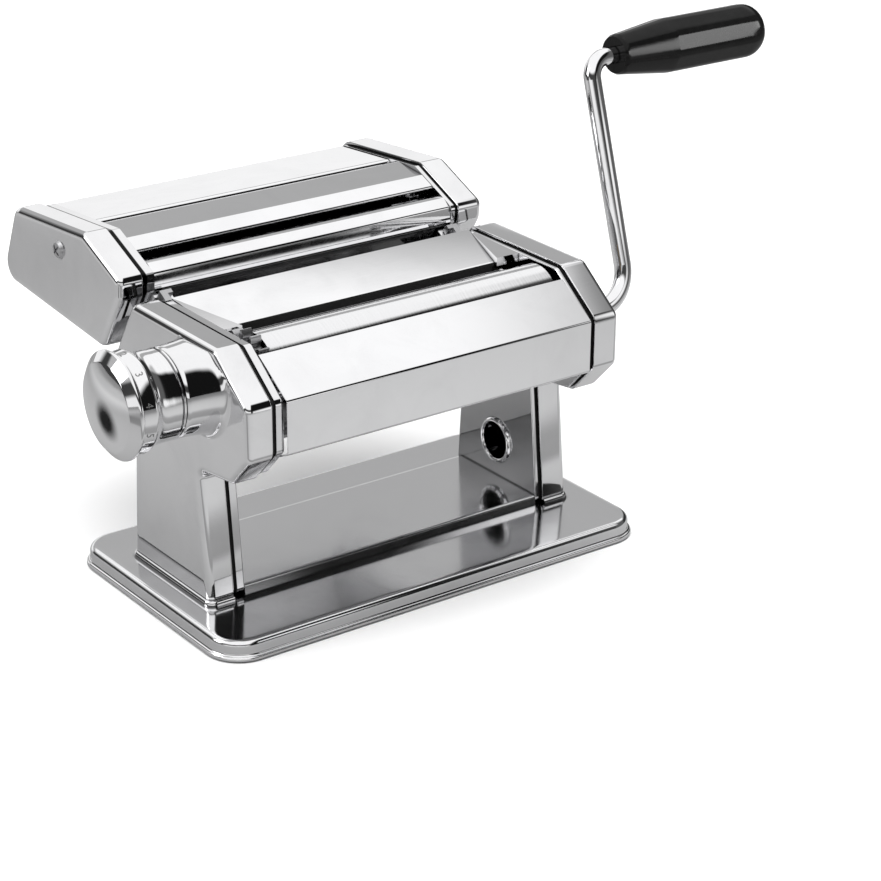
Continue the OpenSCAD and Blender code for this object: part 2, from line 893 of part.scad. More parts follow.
// Regulator: a shaft through the hollow roller with a scroll disc at each end
module regulator_bush() {
    r = regulator_d / 2;
    color(bronze)
        turned(regulator, [
            [r + run_gap, right_face - shell_sheet], [r + bush_wall, right_face - shell_sheet],
            [r + bush_wall, right_face], [r + bush_wall + 2, right_face],
            [r + bush_wall + 1.4, right_face + 1.4], [r + run_gap, right_face + 1.4]
        ]);
}

module regulator_shaft() {
    color(steel) {
        bar(regulator, regulator_d / 2, -screw_head_x, right_face + 1);
    }
}

groove_half = scroll_pin_d / 2 + 0.3;

function scroll_point(a, off) =
    (scroll_r + travel * a / regulator_turn + off) * [cos(gear_line + 180 - a), sin(gear_line + 180 - a)];

module scroll_groove() {
    steps = 48;
    span = [for (i = [0 : steps]) regulator_turn * i / steps];
    polygon(concat(
        [for (a = span) scroll_point(a, groove_half)],
        [for (i = [steps : -1 : 0]) scroll_point(span[i], -groove_half)]
    ));
}

module scroll_disc() {
    difference() {
        bar(regulator, scroll_d / 2, scroll_x, scroll_out);
        bar(regulator, regulator_d / 2, scroll_x - 1, scroll_out + 1);
        along(scroll_x - 1, scroll_out + 1)
            translate(regulator)
                scroll_groove();
        for (a = [0, regulator_turn])
            bar(regulator + scroll_point(a, 0), groove_half, scroll_x - 1, scroll_out + 1);
    }
}

module scroll_discs() {
    color(steel)
        both_sides()
            scroll_disc();
}

// Knob: a fixed collar, a sprung body that pulls out, and a domed cap
module left_turned(pts) {
    mirror([1, 0, 0])
        turned(regulator, pts);
}

// The collar's root keeps within the outline of the shell that it stands on
module collar_limit() {
    edge_in = 1.6;
    spread = 4;
    mirror([1, 0, 0])
        loft([
            at_x(left_face - shell_sheet - 1, rounded(head_outline, head_radii, edge_in)),
            at_x(left_face, rounded(head_outline, head_radii, edge_in)),
            at_x(left_face + collar_l * 0.5, rounded(head_outline, head_radii, -spread)),
            at_x(collar_end + 1, rounded(head_outline, head_radii, -spread))
        ]);
}

module knob_collar() {
    waist_l = collar_l * 0.4;
    waist_r = knob_waist_r + 0.6;
    color(chrome)
        difference() {
            intersection() {
                left_turned([
                    [regulator_d / 2 + run_gap, collar_end - collar_wall], [regulator_d / 2 + run_gap, collar_end],
                    [knob_waist_r - 0.8, collar_end], [knob_waist_r, collar_end - 0.8],
                    [waist_r, left_face + waist_l], [(waist_r + collar_root_r) / 2, left_face + 2.2],
                    [collar_root_r, left_face], [collar_spigot_r, left_face],
                    [collar_spigot_r, left_face - shell_sheet],
                    [collar_spigot_r - collar_wall, left_face - shell_sheet],
                    [collar_spigot_r - collar_wall, left_face + 2],
                    [knob_waist_r - collar_wall - 3, collar_end - collar_wall]
                ]);
                collar_limit();
            }
            for (a = [0 : 30 : 330])
                translate([0, detent_pcd / 2 * cos(a), detent_pcd / 2 * sin(a)])
                    bar(regulator, detent_r + 0.2, -collar_end - 1, -collar_end + collar_wall + 1);
        }
}

knob_cavity_r = 9;
knob_cavity_end = knob_rim - 2;
ring_l = 7;

module knob_body() {
    color(chrome)
        difference() {
            left_turned([
                [regulator_d / 2 + run_gap, knob_start], [knob_waist_r - 0.6, knob_start], [knob_waist_r, knob_start + 0.6],
                [knob_waist_r + 0.5, knob_start + 5], [knob_rim_r - 2.2, knob_rim - ring_l - 2],
                [knob_rim_r - 1.2, knob_rim - ring_l], [knob_rim_r - 1.2, knob_rim - 1],
                [knob_rim_r - 4, knob_rim - 1], [knob_rim_r - 4, knob_cavity_end],
                [knob_cavity_r, knob_cavity_end], [knob_cavity_r, spring_seat], [regulator_d / 2 + run_gap, spring_seat]
            ]);
            translate([0, detent_pcd / 2, 0])
                bar(regulator, detent_r, -knob_start - 4, -knob_start + 1);
        }
}

module knob_cap() {
    flat_r = knob_rim_r - 4.5;
    color(chrome)
        left_turned(concat(
            [[0, knob_rim], [knob_rim_r - 4.2, knob_rim], [knob_rim_r - 4.2, knob_rim - 1 + nest_gap],
            [knob_rim_r - 0.5, knob_rim - 1 + nest_gap], [knob_rim_r, knob_rim - 0.4], [knob_rim_r, knob_rim + 0.8],
            [flat_r + 0.6, knob_rim + knob_cap_h * 0.55]],
            [for (i = [0 : 8]) let (t = 1 - i / 8)
                [flat_r * t, knob_rim + knob_cap_h * (0.6 + 0.4 * (1 - t * t))]]
        ));
}

module detent_pin() {
    color(steel)
        translate([0, detent_pcd / 2, 0])
            bar(regulator, detent_r, -knob_start - 4, -knob_start + 0.1);
}

module knob_screw() {
    head_r = spring_r + spring_wire;
    color(steel)
        difference() {
            bar(regulator, head_r, -screw_head_x - 2.4, -screw_head_x);
            translate([-screw_head_x - 3, regulator[0] - 0.6, regulator[1] - head_r])
                cube([1.6, 1.2, head_r * 2]);
        }
}

// One unbroken coil of wire, with its least gap between turns printed
spring_pitch = (spring_l - spring_wire - 0.2) / spring_turns;
echo(least_gap_between_spring_turns = spring_pitch - spring_wire);

module knob_spring() {
    rings = 12 * spring_turns;
    sides = 6;
    start = spring_seat + spring_wire / 2 + 0.1;
    color(steel)
        translate([0, regulator[0], regulator[1]])
            loft([for (k = [0 : rings]) let (a = 30 * k, x = -start - spring_pitch * k / 12)
                [for (s = [0 : sides - 1]) let (b = -360 * s / sides, r = spring_r + spring_wire / 2 * cos(b))
                    [x + spring_wire / 2 * sin(b), r * cos(a), r * sin(a)]]]);
}

// Crank: a bent rod that plugs into the drive shaft, with a grip that spins on it
module in_crank_plane() {
    translate([0, drive[0], drive[1]])
        rotate([-crank_lean, 0, 0])
            children();
}

module rod_bend(r) {
    rotate_extrude(angle = 90)
        translate([r, 0])
            circle(r = crank_r);
}

module crank_rod() {
    low = crank_bend_low;
    top = crank_bend_top;
    axle_end = grip_x + grip_l - plug_l + 0.3;
    head_l = 2;
    color(chrome)
        in_crank_plane() {
            translate([crank_end, 0, 0])
                rotate([0, 90, 0])
                    difference() {
                        cylinder(r = crank_r, h = crank_reach - low - crank_end);
                        translate([0, 0, socket_mouth - crank_pin_in - crank_end])
                            rotate([0, 90, 0])
                                cylinder(r = crank_pin_r, h = 4 * crank_r, center = true);
                    }
            translate([crank_reach - low, 0, low])
                rotate([90, 0, 0])
                    rotate([0, 0, -90])
                        rod_bend(low);
            translate([crank_reach, 0, low])
                cylinder(r = crank_r, h = crank_arm - low - top);
            translate([crank_reach + top, 0, crank_arm - top])
                rotate([90, 0, 0])
                    rotate([0, 0, 90])
                        rod_bend(top);
            translate([crank_reach + top, 0, crank_arm])
                rotate([0, 90, 0]) {
                    cylinder(r = crank_r, h = grip_x - crank_reach - top - 0.5);
                    cylinder(r = grip_bore_r - run_gap, h = axle_end - crank_reach - top);
                    translate([0, 0, axle_end - crank_reach - top])
                        cylinder(r = crank_r + 0.6, h = head_l);
                }
        }
}

module crank_pin() {
    color(steel)
        in_crank_plane()
            translate([socket_mouth - crank_pin_in, 0, 0])
                cylinder(r = crank_pin_r, h = 2 * socket_hub_r - 0.4, center = true);
}

module at_grip() {
    in_crank_plane()
        translate([grip_x, 0, crank_arm])
            rotate([0, 90, 0])
                children();
}

plug_l = 9;

module crank_grip() {
    r = grip_d / 2;
    neck = grip_neck_d / 2;
    flat = 1.3;
    plug_r = r - 6;
    color(plastic)
        at_grip()
            difference() {
                rotate_extrude()
                    polygon(concat(
                        [[grip_bore_r, 0], [neck - 1, 0], [neck, 2], [neck + 0.6, 6], [r - 0.4, 27], [r, 31],
                        [r, grip_l - 17]],
                        [for (i = [1 : 6]) let (a = 15 * i)
                            [r - 7 + 7 * cos(a), grip_l - 17 + 17 * sin(a)]],
                        [[plug_r, grip_l], [plug_r, grip_l - plug_l], [grip_bore_r, grip_l - plug_l]]
                    ));
                for (a = [30 : 60 : 330])
                    rotate([0, 0, a])
                        translate([r - flat, -4.5, 29])
                            cube([flat * 2, 9, grip_l - 29 - 19]);
            }
}

module grip_plug() {
    r = grip_d / 2 - 6;
    color(plastic)
        at_grip()
            translate([0, 0, grip_l - plug_l])
                rotate_extrude()
                    polygon([[0, 5.5], [r - 1.5, 5.5], [r - 1.5, 0], [r, 0], [r, plug_l - 0.4], [r - 2, plug_l], [0, plug_l]]);
}

// Cutter: plates, covers and bars that slide onto the rails of the head
module cutter_rail_frame() {
    translate([0, back_low_y, back_low_z])
        rotate([back_lean, 0, 0])
            children();
}

rail_t = 3;
rail_in = frame_half - rail_t;
rail_lip = 2.5;
rail_lip_x = rail_in - rail_lip;
rail_lip_t = 2;
rail_low = 4;
rail_root = 5;
rail_out = 6.2;
rail_stop = 3;

module cutter_rails() {
    color(steel)
        both_sides()
            cutter_rail_frame() {
                translate([rail_in, -rail_root, rail_low])
                    cube([rail_t, rail_root + rail_out, rail_w]);
                translate([rail_lip_x, rail_out - rail_lip_t, rail_low])
                    cube([rail_lip, rail_lip_t, rail_w]);
                translate([rail_lip_x, rail_out - rail_lip_t, rail_low])
                    cube([frame_half - rail_lip_x, 2 * rail_lip_t, rail_stop]);
            }
}

hook_t = 1.6;
hook_gap = 0.3;
hook_x = rail_lip_x - hook_gap - hook_t;
hook_l = rail_w - 8;

// One of the cutter's hooks, which wraps round the lip of a rail
module cutter_hook() {
    low = rail_low + rail_stop + hook_gap;
    back = rail_out + hook_gap;
    catch_out = rail_out - rail_lip_t - hook_gap;
    block_rise = 2;
    block_d = 6;
    cutter_rail_frame() {
        translate([hook_x, back, low])
            cube([frame_half - hook_x, hook_t, hook_l]);
        translate([hook_x, catch_out - hook_t, low])
            cube([hook_t, back + hook_t - catch_out + hook_t, hook_l]);
        translate([hook_x, catch_out - hook_t, low])
            cube([rail_in - hook_gap - hook_x, hook_t, hook_l]);
        translate([rail_in, back, low + block_rise])
            cube([rail_t + frame_sheet / 2, block_d, hook_l - block_rise]);
    }
}

cutter_axes = [
    [back_feed + pair_half, cutter_axis_z], [back_feed - pair_half, cutter_axis_z],
    [front_feed + pair_half, cutter_axis_z], [front_feed - pair_half, cutter_axis_z]
];
screw_place = [89.4, 131.7];
cutter_screw_r = 2;

module cutter_plate(lip_x, lead_r) {
    difference() {
        union() {
            flanged_frame(cutter_outline, cutter_radii, lip_x);
            cutter_hook();
        }
        for (i = [0, 2])
            bar(cutter_axes[i], lead_r + run_gap, frame_half - 1, web_out + 1);
        for (i = [1, 3])
            bar(cutter_axes[i], cutter_shaft_r + run_gap, rail_in - 1, web_out + 1);
        bar(screw_place, cutter_screw_r, frame_half - 1, web_out + 1);
    }
}

module cutter_left_plate() {
    color(chrome)
        mirror([1, 0, 0])
            cutter_plate(left_lip, cutter_shaft_r);
}

module cutter_right_plate() {
    color(chrome)
        cutter_plate(right_lip, socket_hub_r);
}

module cutter_cover(edge_x, face_x) {
    difference() {
        pressed_lid(cutter_outline, cutter_radii, edge_x, face_x);
        bar(screw_place, cutter_screw_r, edge_x, face_x + 1);
    }
}

module cutter_left_cover() {
    color(chrome)
        mirror([1, 0, 0])
            cutter_cover(left_edge, left_face);
}

socket_hub_r = crank_r + run_gap + socket_wall;
crank_hole_r = drive_r + 0.6;

module cutter_right_cover() {
    color(chrome)
        difference() {
            cutter_cover(right_edge, right_face);
            for (p = [cutter_axes[0], cutter_axes[2]])
                bar(p, socket_hub_r + free_gap, right_edge, right_face + 1);
        }
}

module cover_screw(face_x) {
    head_r = 4.3;
    cross_l = 5.2;
    cross_w = 1;
    difference() {
        union() {
            turned(screw_place, [[0, face_x], [head_r, face_x], [head_r - 1, face_x + 1.3], [0, face_x + 1.9]]);
            bar(screw_place, cutter_screw_r, frame_half, face_x);
        }
        for (a = [45, 135])
            translate([face_x + 0.5, screw_place[0], screw_place[1]])
                rotate([a, 0, 0])
                    translate([0, -cross_l / 2, -cross_w / 2])
                        cube([2, cross_l, cross_w]);
    }
}

module cutter_screws() {
    color(steel) {
        cover_screw(right_face);
        mirror([1, 0, 0])
            cover_screw(left_face);
    }
}

// Height of the cutter's sheet top at y, just under the covers' edges
function cutter_top(y) = let (a = cutter_outline[0], b = cutter_outline[1], c = cutter_outline[2])
    (y > b[0] ? b[1] + (a[1] - b[1]) * (y - b[0]) / (a[0] - b[0])
        : c[1] + (b[1] - c[1]) * (y - c[0]) / (b[0] - c[0])) - frame_inset - 0.3;

function top_at(y) = [y, cutter_top(y)];
slot_half = 4.5;
slot_ahead = 0.7;
thin_slot = 4.8;
thin_slot_ahead = 3.5;

module cutter_back_panel() {
    edge = back_feed + slot_half;
    color(chrome)
        bent_sheet([
            [edge + 0.6, cutter_top(edge) - 5], top_at(edge), top_at(128), [138.2, 113.5], [138, 107]
        ], -panel_sheet, panel_half);
}

module cutter_middle_bar() {
    rear = back_feed - slot_ahead;
    front = front_feed - thin_slot_ahead;
    color(chrome)
        bent_sheet([
            [front + 1, cutter_top(front) - 5], top_at(front), top_at(front + 8), [rear, cutter_top(rear)],
            [rear - 0.6, cutter_top(rear) - 5]
        ], panel_sheet, panel_half);
}

apron_in = 0.9;
apron_l = 17;

// The front bar, with an apron that runs down parallel to the head's back and clears the hooks at both ends
module cutter_front_bar() {
    rear = front_feed - thin_slot_ahead - thin_slot;
    down = unit(cutter_outline[4] - cutter_outline[3]);
    apron_top = cutter_outline[3] + apron_in * [-down[1], down[0]];
    apron_low = apron_top + apron_l * down;
    color(chrome)
        difference() {
            bent_sheet([
                apron_low, apron_top, [41, 128.6], top_at(43.6), top_at(rear), [rear - 0.4, cutter_top(rear) - 3.4]
            ], panel_sheet, panel_half);
            both_sides()
                translate([rail_in - hook_gap, 0, apron_low[1] - apron_l])
                    cube([rail_t + 1, apron_low[0] * 2, apron_top[1] - apron_low[1] + apron_l]);
        }
}

// Ridged cutting rollers, with ridges of one in the grooves of the other
function ridge_profile(cut, shift) =
    let (pitch = 2 * cut, ridge = cut - 2 * ridge_gap)
    let (count = floor((2 * cut_half - cut) / pitch))
    let (start = -count * pitch / 2 + shift * cut)
    concat(
        [[0, -cut_half], [groove_r, -cut_half]],
        [for (i = [0 : count - 1]) let (x = start + i * pitch)
            each [[groove_r, x], [ridge_r, x], [ridge_r, x + ridge], [groove_r, x + ridge]]],
        [[groove_r, cut_half], [0, cut_half]]
    );

shaft_root = 0.5;

module cutting_roller(p, cut, shift) {
    turned(p, ridge_profile(cut, shift));
    bar(p, cutter_shaft_r, -left_lip + 2, -cut_half + shaft_root);
}

module lead_roller(p, cut) {
    color(steel)
        difference() {
            union() {
                cutting_roller(p, cut, 0);
                bar(p, socket_hub_r, cut_half - shaft_root, socket_mouth);
            }
            crank_socket(p);
        }
}

module follow_roller(p, cut) {
    color(steel) {
        cutting_roller(p, cut, 1);
        bar(p, cutter_shaft_r, cut_half - shaft_root, web_out + 3);
    }
}

module broad_lead_roller() lead_roller(cutter_axes[0], broad_cut);
module broad_follow_roller() follow_roller(cutter_axes[1], broad_cut);
module thin_lead_roller() lead_roller(cutter_axes[2], thin_cut);
module thin_follow_roller() follow_roller(cutter_axes[3], thin_cut);

module cutter_gear(p, phase) {
    depth = 1.05;
    color(steel)
        gear(p, cutter_teeth, cutter_mesh / 2, depth, 0.45, cutter_shaft_r, -web_out - 6, -web_out - 1, phase);
}

module broad_lead_gear() cutter_gear(cutter_axes[0], 0);
module broad_follow_gear() cutter_gear(cutter_axes[1], 180 + 180 / cutter_teeth);
module thin_lead_gear() cutter_gear(cutter_axes[2], 0);
module thin_follow_gear() cutter_gear(cutter_axes[3], 180 + 180 / cutter_teeth);

// Combs whose fingers stand in the grooves and strip the noodles off
module comb(p, cut, shift) {
    pitch = 2 * cut;
    count = floor((2 * cut_half - cut) / pitch);
    finger = cut - 4 * ridge_gap;
    low = 104;
    thick = 1.6;
    translate([-panel_half, p[0] - thick / 2, low])
        cube([2 * panel_half, thick, cutter_axis_z - ridge_r - 1 - low]);
    for (i = [0 : count - 2])
        translate([-count * cut + shift * cut + cut + 2 * ridge_gap - ridge_gap + i * pitch, p[0] - thick / 2, low])
            cube([finger, thick, cutter_axis_z - groove_r - free_gap - low]);
}

module broad_combs() {
    color(steel) {
        comb(cutter_axes[0], broad_cut, 0);
        comb(cutter_axes[1], broad_cut, 1);
    }
}

module thin_combs() {
    color(steel) {
        comb(cutter_axes[2], thin_cut, 0);
        comb(cutter_axes[3], thin_cut, 1);
    }
}

base_plate();
base_pad();
floor_plate();
left_inner_frame();
right_inner_frame();
left_outer_shell();
right_outer_shell();
clamp_hole_rim();
leg_screws();
front_panel();
hopper_plate();
left_dough_guide();
right_dough_guide();
front_scraper();
rear_scraper();
tie_rods();
tie_rod_nuts();
drive_bushes();
block_guides();
regulator_bush();
knob_collar();
cutter_rails();
drive_roller();
drive_shaft();
drive_gear();
left_bearing_block();
right_bearing_block();
block_bushes();
scroll_pins();
adjusting_roller();
driven_gear();
regulator_shaft();
scroll_discs();
knob_screw();
knob_spring();
knob_body();
knob_cap();
detent_pin();
crank_rod();
crank_pin();
crank_grip();
grip_plug();
cutter_left_plate();
cutter_right_plate();
cutter_left_cover();
cutter_right_cover();
cutter_screws();
cutter_back_panel();
cutter_middle_bar();
cutter_front_bar();
broad_combs();
thin_combs();
broad_lead_roller();
broad_follow_roller();
thin_lead_roller();
thin_follow_roller();
broad_lead_gear();
broad_follow_gear();
thin_lead_gear();
thin_follow_gear();
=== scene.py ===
import math

import bmesh
import bpy
from mathutils import Matrix, Vector


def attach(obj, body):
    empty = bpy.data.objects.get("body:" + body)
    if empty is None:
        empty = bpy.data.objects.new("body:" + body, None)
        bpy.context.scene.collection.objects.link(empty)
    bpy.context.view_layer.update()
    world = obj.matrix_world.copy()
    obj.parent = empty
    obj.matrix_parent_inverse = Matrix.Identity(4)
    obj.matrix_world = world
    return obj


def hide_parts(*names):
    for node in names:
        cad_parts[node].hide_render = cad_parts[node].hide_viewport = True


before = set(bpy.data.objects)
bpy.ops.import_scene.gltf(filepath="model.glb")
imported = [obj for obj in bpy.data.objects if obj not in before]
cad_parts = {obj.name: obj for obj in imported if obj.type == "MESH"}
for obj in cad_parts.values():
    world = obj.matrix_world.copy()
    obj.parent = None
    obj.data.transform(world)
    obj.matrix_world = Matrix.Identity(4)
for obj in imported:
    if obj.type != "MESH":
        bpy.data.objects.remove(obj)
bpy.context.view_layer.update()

# Base plate
# The base is one tray pressed from chromed steel sheet, with a stepped lip round its foot.
# It carries the two legs and stands on a rubber pad that is pushed into it from below.
MM = 0.001
base_size = (219.0, 127.0)
base_corner = 16.0
base_top = 8.8
base_foot = 0.4
base_sheet = 1.4
lip_width = 1.6
lip_height = 2.6


def towards(start, end):
    return (Vector(end) - Vector(start)).normalized()


def rounded_outline(points, radii, inset=0.0, steps=9):
    """A closed anticlockwise outline with round corners, moved inwards by inset."""
    outline = []
    for i, point in enumerate(points):
        before, here, after = Vector(points[i - 1]), Vector(point), Vector(points[(i + 1) % len(points)])
        back, ahead = towards(here, before), towards(here, after)
        half = back.angle(ahead) / 2
        middle = here + (back + ahead).normalized() * radii[i] / math.sin(half)
        turns_left = (here - before).cross(after - here) > 0
        radius = radii[i] - inset if turns_left else radii[i] + inset
        first = here + back * radii[i] / math.tan(half) - middle
        last = here + ahead * radii[i] / math.tan(half) - middle
        start = math.atan2(first.y, first.x)
        sweep = (math.atan2(last.y, last.x) - start + math.pi) % (2 * math.pi) - math.pi
        for k in range(steps + 1):
            angle = start + sweep * k / steps
            outline.append((middle.x + radius * math.cos(angle), middle.y + radius * math.sin(angle)))
    return outline


def skin_rings(mesh, rings, closed_tube=False):
    """Adds a skin over rings of equal length and returns its bands of faces.

    Both ends get a flat face unless the tube closes on itself."""
    made = [[mesh.verts.new(Vector(p) * MM) for p in ring] for ring in rings]
    count = len(made[0])
    pairs = list(zip(made, made[1:])) + ([(made[-1], made[0])] if closed_tube else [])
    bands = []
    for low, high in pairs:
        corners = [(i, (i + 1) % count) for i in range(count)]
        bands.append([mesh.faces.new((low[i], low[j], high[j], high[i])) for i, j in corners])
    if not closed_tube:
        mesh.faces.new(made[0])
        mesh.faces.new(list(reversed(made[-1])))
    return bands


def make_piece(name, mesh, body, nodes, material, crease=32, second=None):
    """Turns a mesh into a piece that rides on a body and stands for CAD nodes."""
    bmesh.ops.recalc_face_normals(mesh, faces=mesh.faces)
    data = bpy.data.meshes.new(name)
    mesh.to_mesh(data)
    mesh.free()
    data.polygons.foreach_set("use_smooth", [True] * len(data.polygons))
    data.set_sharp_from_angle(angle=math.radians(crease))
    data.materials.append(material)
    if second:
        data.materials.append(second)
    piece = bpy.data.objects.new(name, data)
    bpy.context.collection.objects.link(piece)
    weighted = piece.modifiers.new("flat_faces_stay_flat", "WEIGHTED_NORMAL")
    weighted.keep_sharp = True
    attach(piece, body)
    if nodes:
        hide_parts(*nodes)
    return piece


def add_node(tree, kind, values=None, **settings):
    """Adds a shader node with its settings and the values of its inputs."""
    made = tree.nodes.new(kind)
    for key, value in settings.items():
        setattr(made, key, value)
    for key, value in (values or {}).items():
        made.inputs[key].default_value = value
    return made


def new_group(name, inputs, outputs):
    """Starts a shader node group with named number or colour sockets."""
    group = bpy.data.node_groups.new(name, "ShaderNodeTree")
    for socket, kind in inputs:
        group.interface.new_socket(socket, in_out="INPUT", socket_type=kind)
    for socket, kind in outputs:
        group.interface.new_socket(socket, in_out="OUTPUT", socket_type=kind)
    return group, add_node(group, "NodeGroupInput"), add_node(group, "NodeGroupOutput")


def wiped_sheet_group():
    """Slow ripples of pressed sheet, finger smears and fine wiping scratches."""
    number, colour = "NodeSocketFloat", "NodeSocketColor"
    group, given, result = new_group(
        "wiped_sheet",
        [("Ripple", number), ("Smear", number), ("Smoothest", number), ("Roughest", number),
         ("Bright", colour), ("Dull", colour)],
        [("Color", colour), ("Roughness", number), ("Height", number)],
    )
    link = group.links.new
    place = add_node(group, "ShaderNodeTexCoord").outputs["Object"]
    ripple = add_node(group, "ShaderNodeTexNoise", {"Detail": 1.0, "Roughness": 0.4})
    link(place, ripple.inputs["Vector"])
    link(given.outputs["Ripple"], ripple.inputs["Scale"])
    smear = add_node(group, "ShaderNodeTexNoise", {"Detail": 7.0, "Roughness": 0.62, "Distortion": 0.7})
    link(place, smear.inputs["Vector"])
    link(given.outputs["Smear"], smear.inputs["Scale"])
    stretch = add_node(group, "ShaderNodeMapping",
                       {"Scale": (60.0, 900.0, 900.0), "Rotation": (0.3, 0.1, 0.2)})
    link(place, stretch.inputs["Vector"])
    scratch = add_node(group, "ShaderNodeTexNoise", {"Scale": 1.0, "Detail": 3.0})
    link(stretch.outputs["Vector"], scratch.inputs["Vector"])
    smeared = add_node(group, "ShaderNodeMapRange", {"From Min": 0.42, "From Max": 0.72})
    link(smear.outputs["Fac"], smeared.inputs["Value"])
    rough = add_node(group, "ShaderNodeMapRange")
    link(smeared.outputs["Result"], rough.inputs["Value"])
    link(given.outputs["Smoothest"], rough.inputs["To Min"])
    link(given.outputs["Roughest"], rough.inputs["To Max"])
    link(rough.outputs["Result"], result.inputs["Roughness"])
    tone = add_node(group, "ShaderNodeMix", data_type="RGBA")
    link(smeared.outputs["Result"], tone.inputs["Factor"])
    link(given.outputs["Bright"], tone.inputs[6])
    link(given.outputs["Dull"], tone.inputs[7])
    link(tone.outputs[2], result.inputs["Color"])
    fine = add_node(group, "ShaderNodeMath", {1: 0.012}, operation="MULTIPLY")
    link(scratch.outputs["Fac"], fine.inputs[0])
    height = add_node(group, "ShaderNodeMath", operation="ADD")
    link(ripple.outputs["Fac"], height.inputs[0])
    link(fine.outputs["Value"], height.inputs[1])
    link(height.outputs["Value"], result.inputs["Height"])
    return group


def seam_grime_group():
    """A mask of painted shade, high in seams and tight corners where little light gets in."""
    number = "NodeSocketFloat"
    group, given, result = new_group(
        "painted_seam_shade", [("Reach", number), ("Amount", number)], [("Mask", number)])
    link = group.links.new
    shade = add_node(group, "ShaderNodeAmbientOcclusion", samples=12)
    link(given.outputs["Reach"], shade.inputs["Distance"])
    dark = add_node(group, "ShaderNodeMapRange", {"From Min": 0.85, "From Max": 0.32})
    link(shade.outputs["AO"], dark.inputs["Value"])
    amount = add_node(group, "ShaderNodeMath", operation="MULTIPLY")
    link(dark.outputs["Result"], amount.inputs[0])
    link(given.outputs["Amount"], amount.inputs[1])
    link(amount.outputs["Value"], result.inputs["Mask"])
    return group


wiped_sheet = wiped_sheet_group()
painted_seam_shade = seam_grime_group()


def chromed_sheet(name, bright, dull, smoothest, roughest,
                  ripple=28.0, wave=0.00012, shade_amount=0.8, reach=0.0022):
    """Bright plated metal with smears, a slight ripple and painted shade in its seams and tight corners."""
    material = bpy.data.materials.new(name)
    material.use_nodes = True
    tree = material.node_tree
    shader = tree.nodes["Principled BSDF"]
    shader.inputs["Metallic"].default_value = 1.0
    finish = add_node(tree, "ShaderNodeGroup", node_tree=wiped_sheet)
    for socket, value in (("Ripple", ripple), ("Smear", 34.0),
                          ("Smoothest", smoothest), ("Roughest", roughest),
                          ("Bright", (*bright, 1.0)), ("Dull", (*dull, 1.0))):
        finish.inputs[socket].default_value = value
    seams = add_node(tree, "ShaderNodeGroup", node_tree=painted_seam_shade)
    seams.inputs["Reach"].default_value = reach
    seams.inputs["Amount"].default_value = shade_amount
    # Painted shade: the seam mask blends the colour towards near black where other surfaces crowd close.
    colour = add_node(tree, "ShaderNodeMix", data_type="RGBA")
    colour.inputs[7].default_value = (0.03, 0.03, 0.032, 1.0)
    tree.links.new(seams.outputs["Mask"], colour.inputs["Factor"])
    tree.links.new(finish.outputs["Color"], colour.inputs[6])
    tree.links.new(colour.outputs[2], shader.inputs["Base Color"])
    tree.links.new(finish.outputs["Roughness"], shader.inputs["Roughness"])
    bump = add_node(tree, "ShaderNodeBump", {"Strength": 1.0, "Distance": wave})
    tree.links.new(finish.outputs["Height"], bump.inputs["Height"])
    tree.links.new(bump.outputs["Normal"], shader.inputs["Normal"])
    return material


base_chrome = chromed_sheet("base_chrome", (0.84, 0.84, 0.85), (0.79, 0.79, 0.8), 0.1, 0.15, wave=0.00005)


def base_ring(inset, z):
    half_w, half_d = base_size[0] / 2, base_size[1] / 2
    corners = [(-half_w, -half_d), (half_w, -half_d), (half_w, half_d), (-half_w, half_d)]
    return [(x, y, z) for x, y in rounded_outline(corners, [base_corner] * 4, inset, steps=14)]


def quarter(start, end, steps=6, hollow=False):
    """Points of a quarter ellipse from start to end, bulging outwards or hollow."""
    points = []
    for k in range(steps + 1):
        a = math.pi / 2 * k / steps
        s, c = (1 - math.cos(a), math.sin(a)) if hollow else (math.sin(a), 1 - math.cos(a))
        points.append((start[0] + (end[0] - start[0]) * c, start[1] + (end[1] - start[1]) * s))
    return points


top_round = 2.6
base_profile = (
    [(lip_width + top_round + 2.4, base_top - base_sheet),
     (lip_width + base_sheet, base_top - top_round - 0.4),
     (lip_width + base_sheet, lip_height), (base_sheet, base_foot), (0.3, base_foot)]
    + quarter((0.0, base_foot + 0.3), (0.5, lip_height - 0.5), 3)
    + quarter((0.6, lip_height - 0.3), (lip_width, lip_height + 0.9), 4, hollow=True)
    + quarter((lip_width, base_top - top_round), (lip_width + top_round, base_top), 7)
    + [(lip_width + top_round + 1.4, base_top)]
)
base_mesh = bmesh.new()
skin_rings(base_mesh, [base_ring(inset, z) for inset, z in base_profile])
make_piece("base_tray", base_mesh, "frame", ["base_plate"], base_chrome)

# Base pad and leg screws
# A moulded rubber pad fills the tray and keeps the machine from sliding on the table.
# Slotted screws go up through the tray into the feet of the legs, in pockets of the pad.


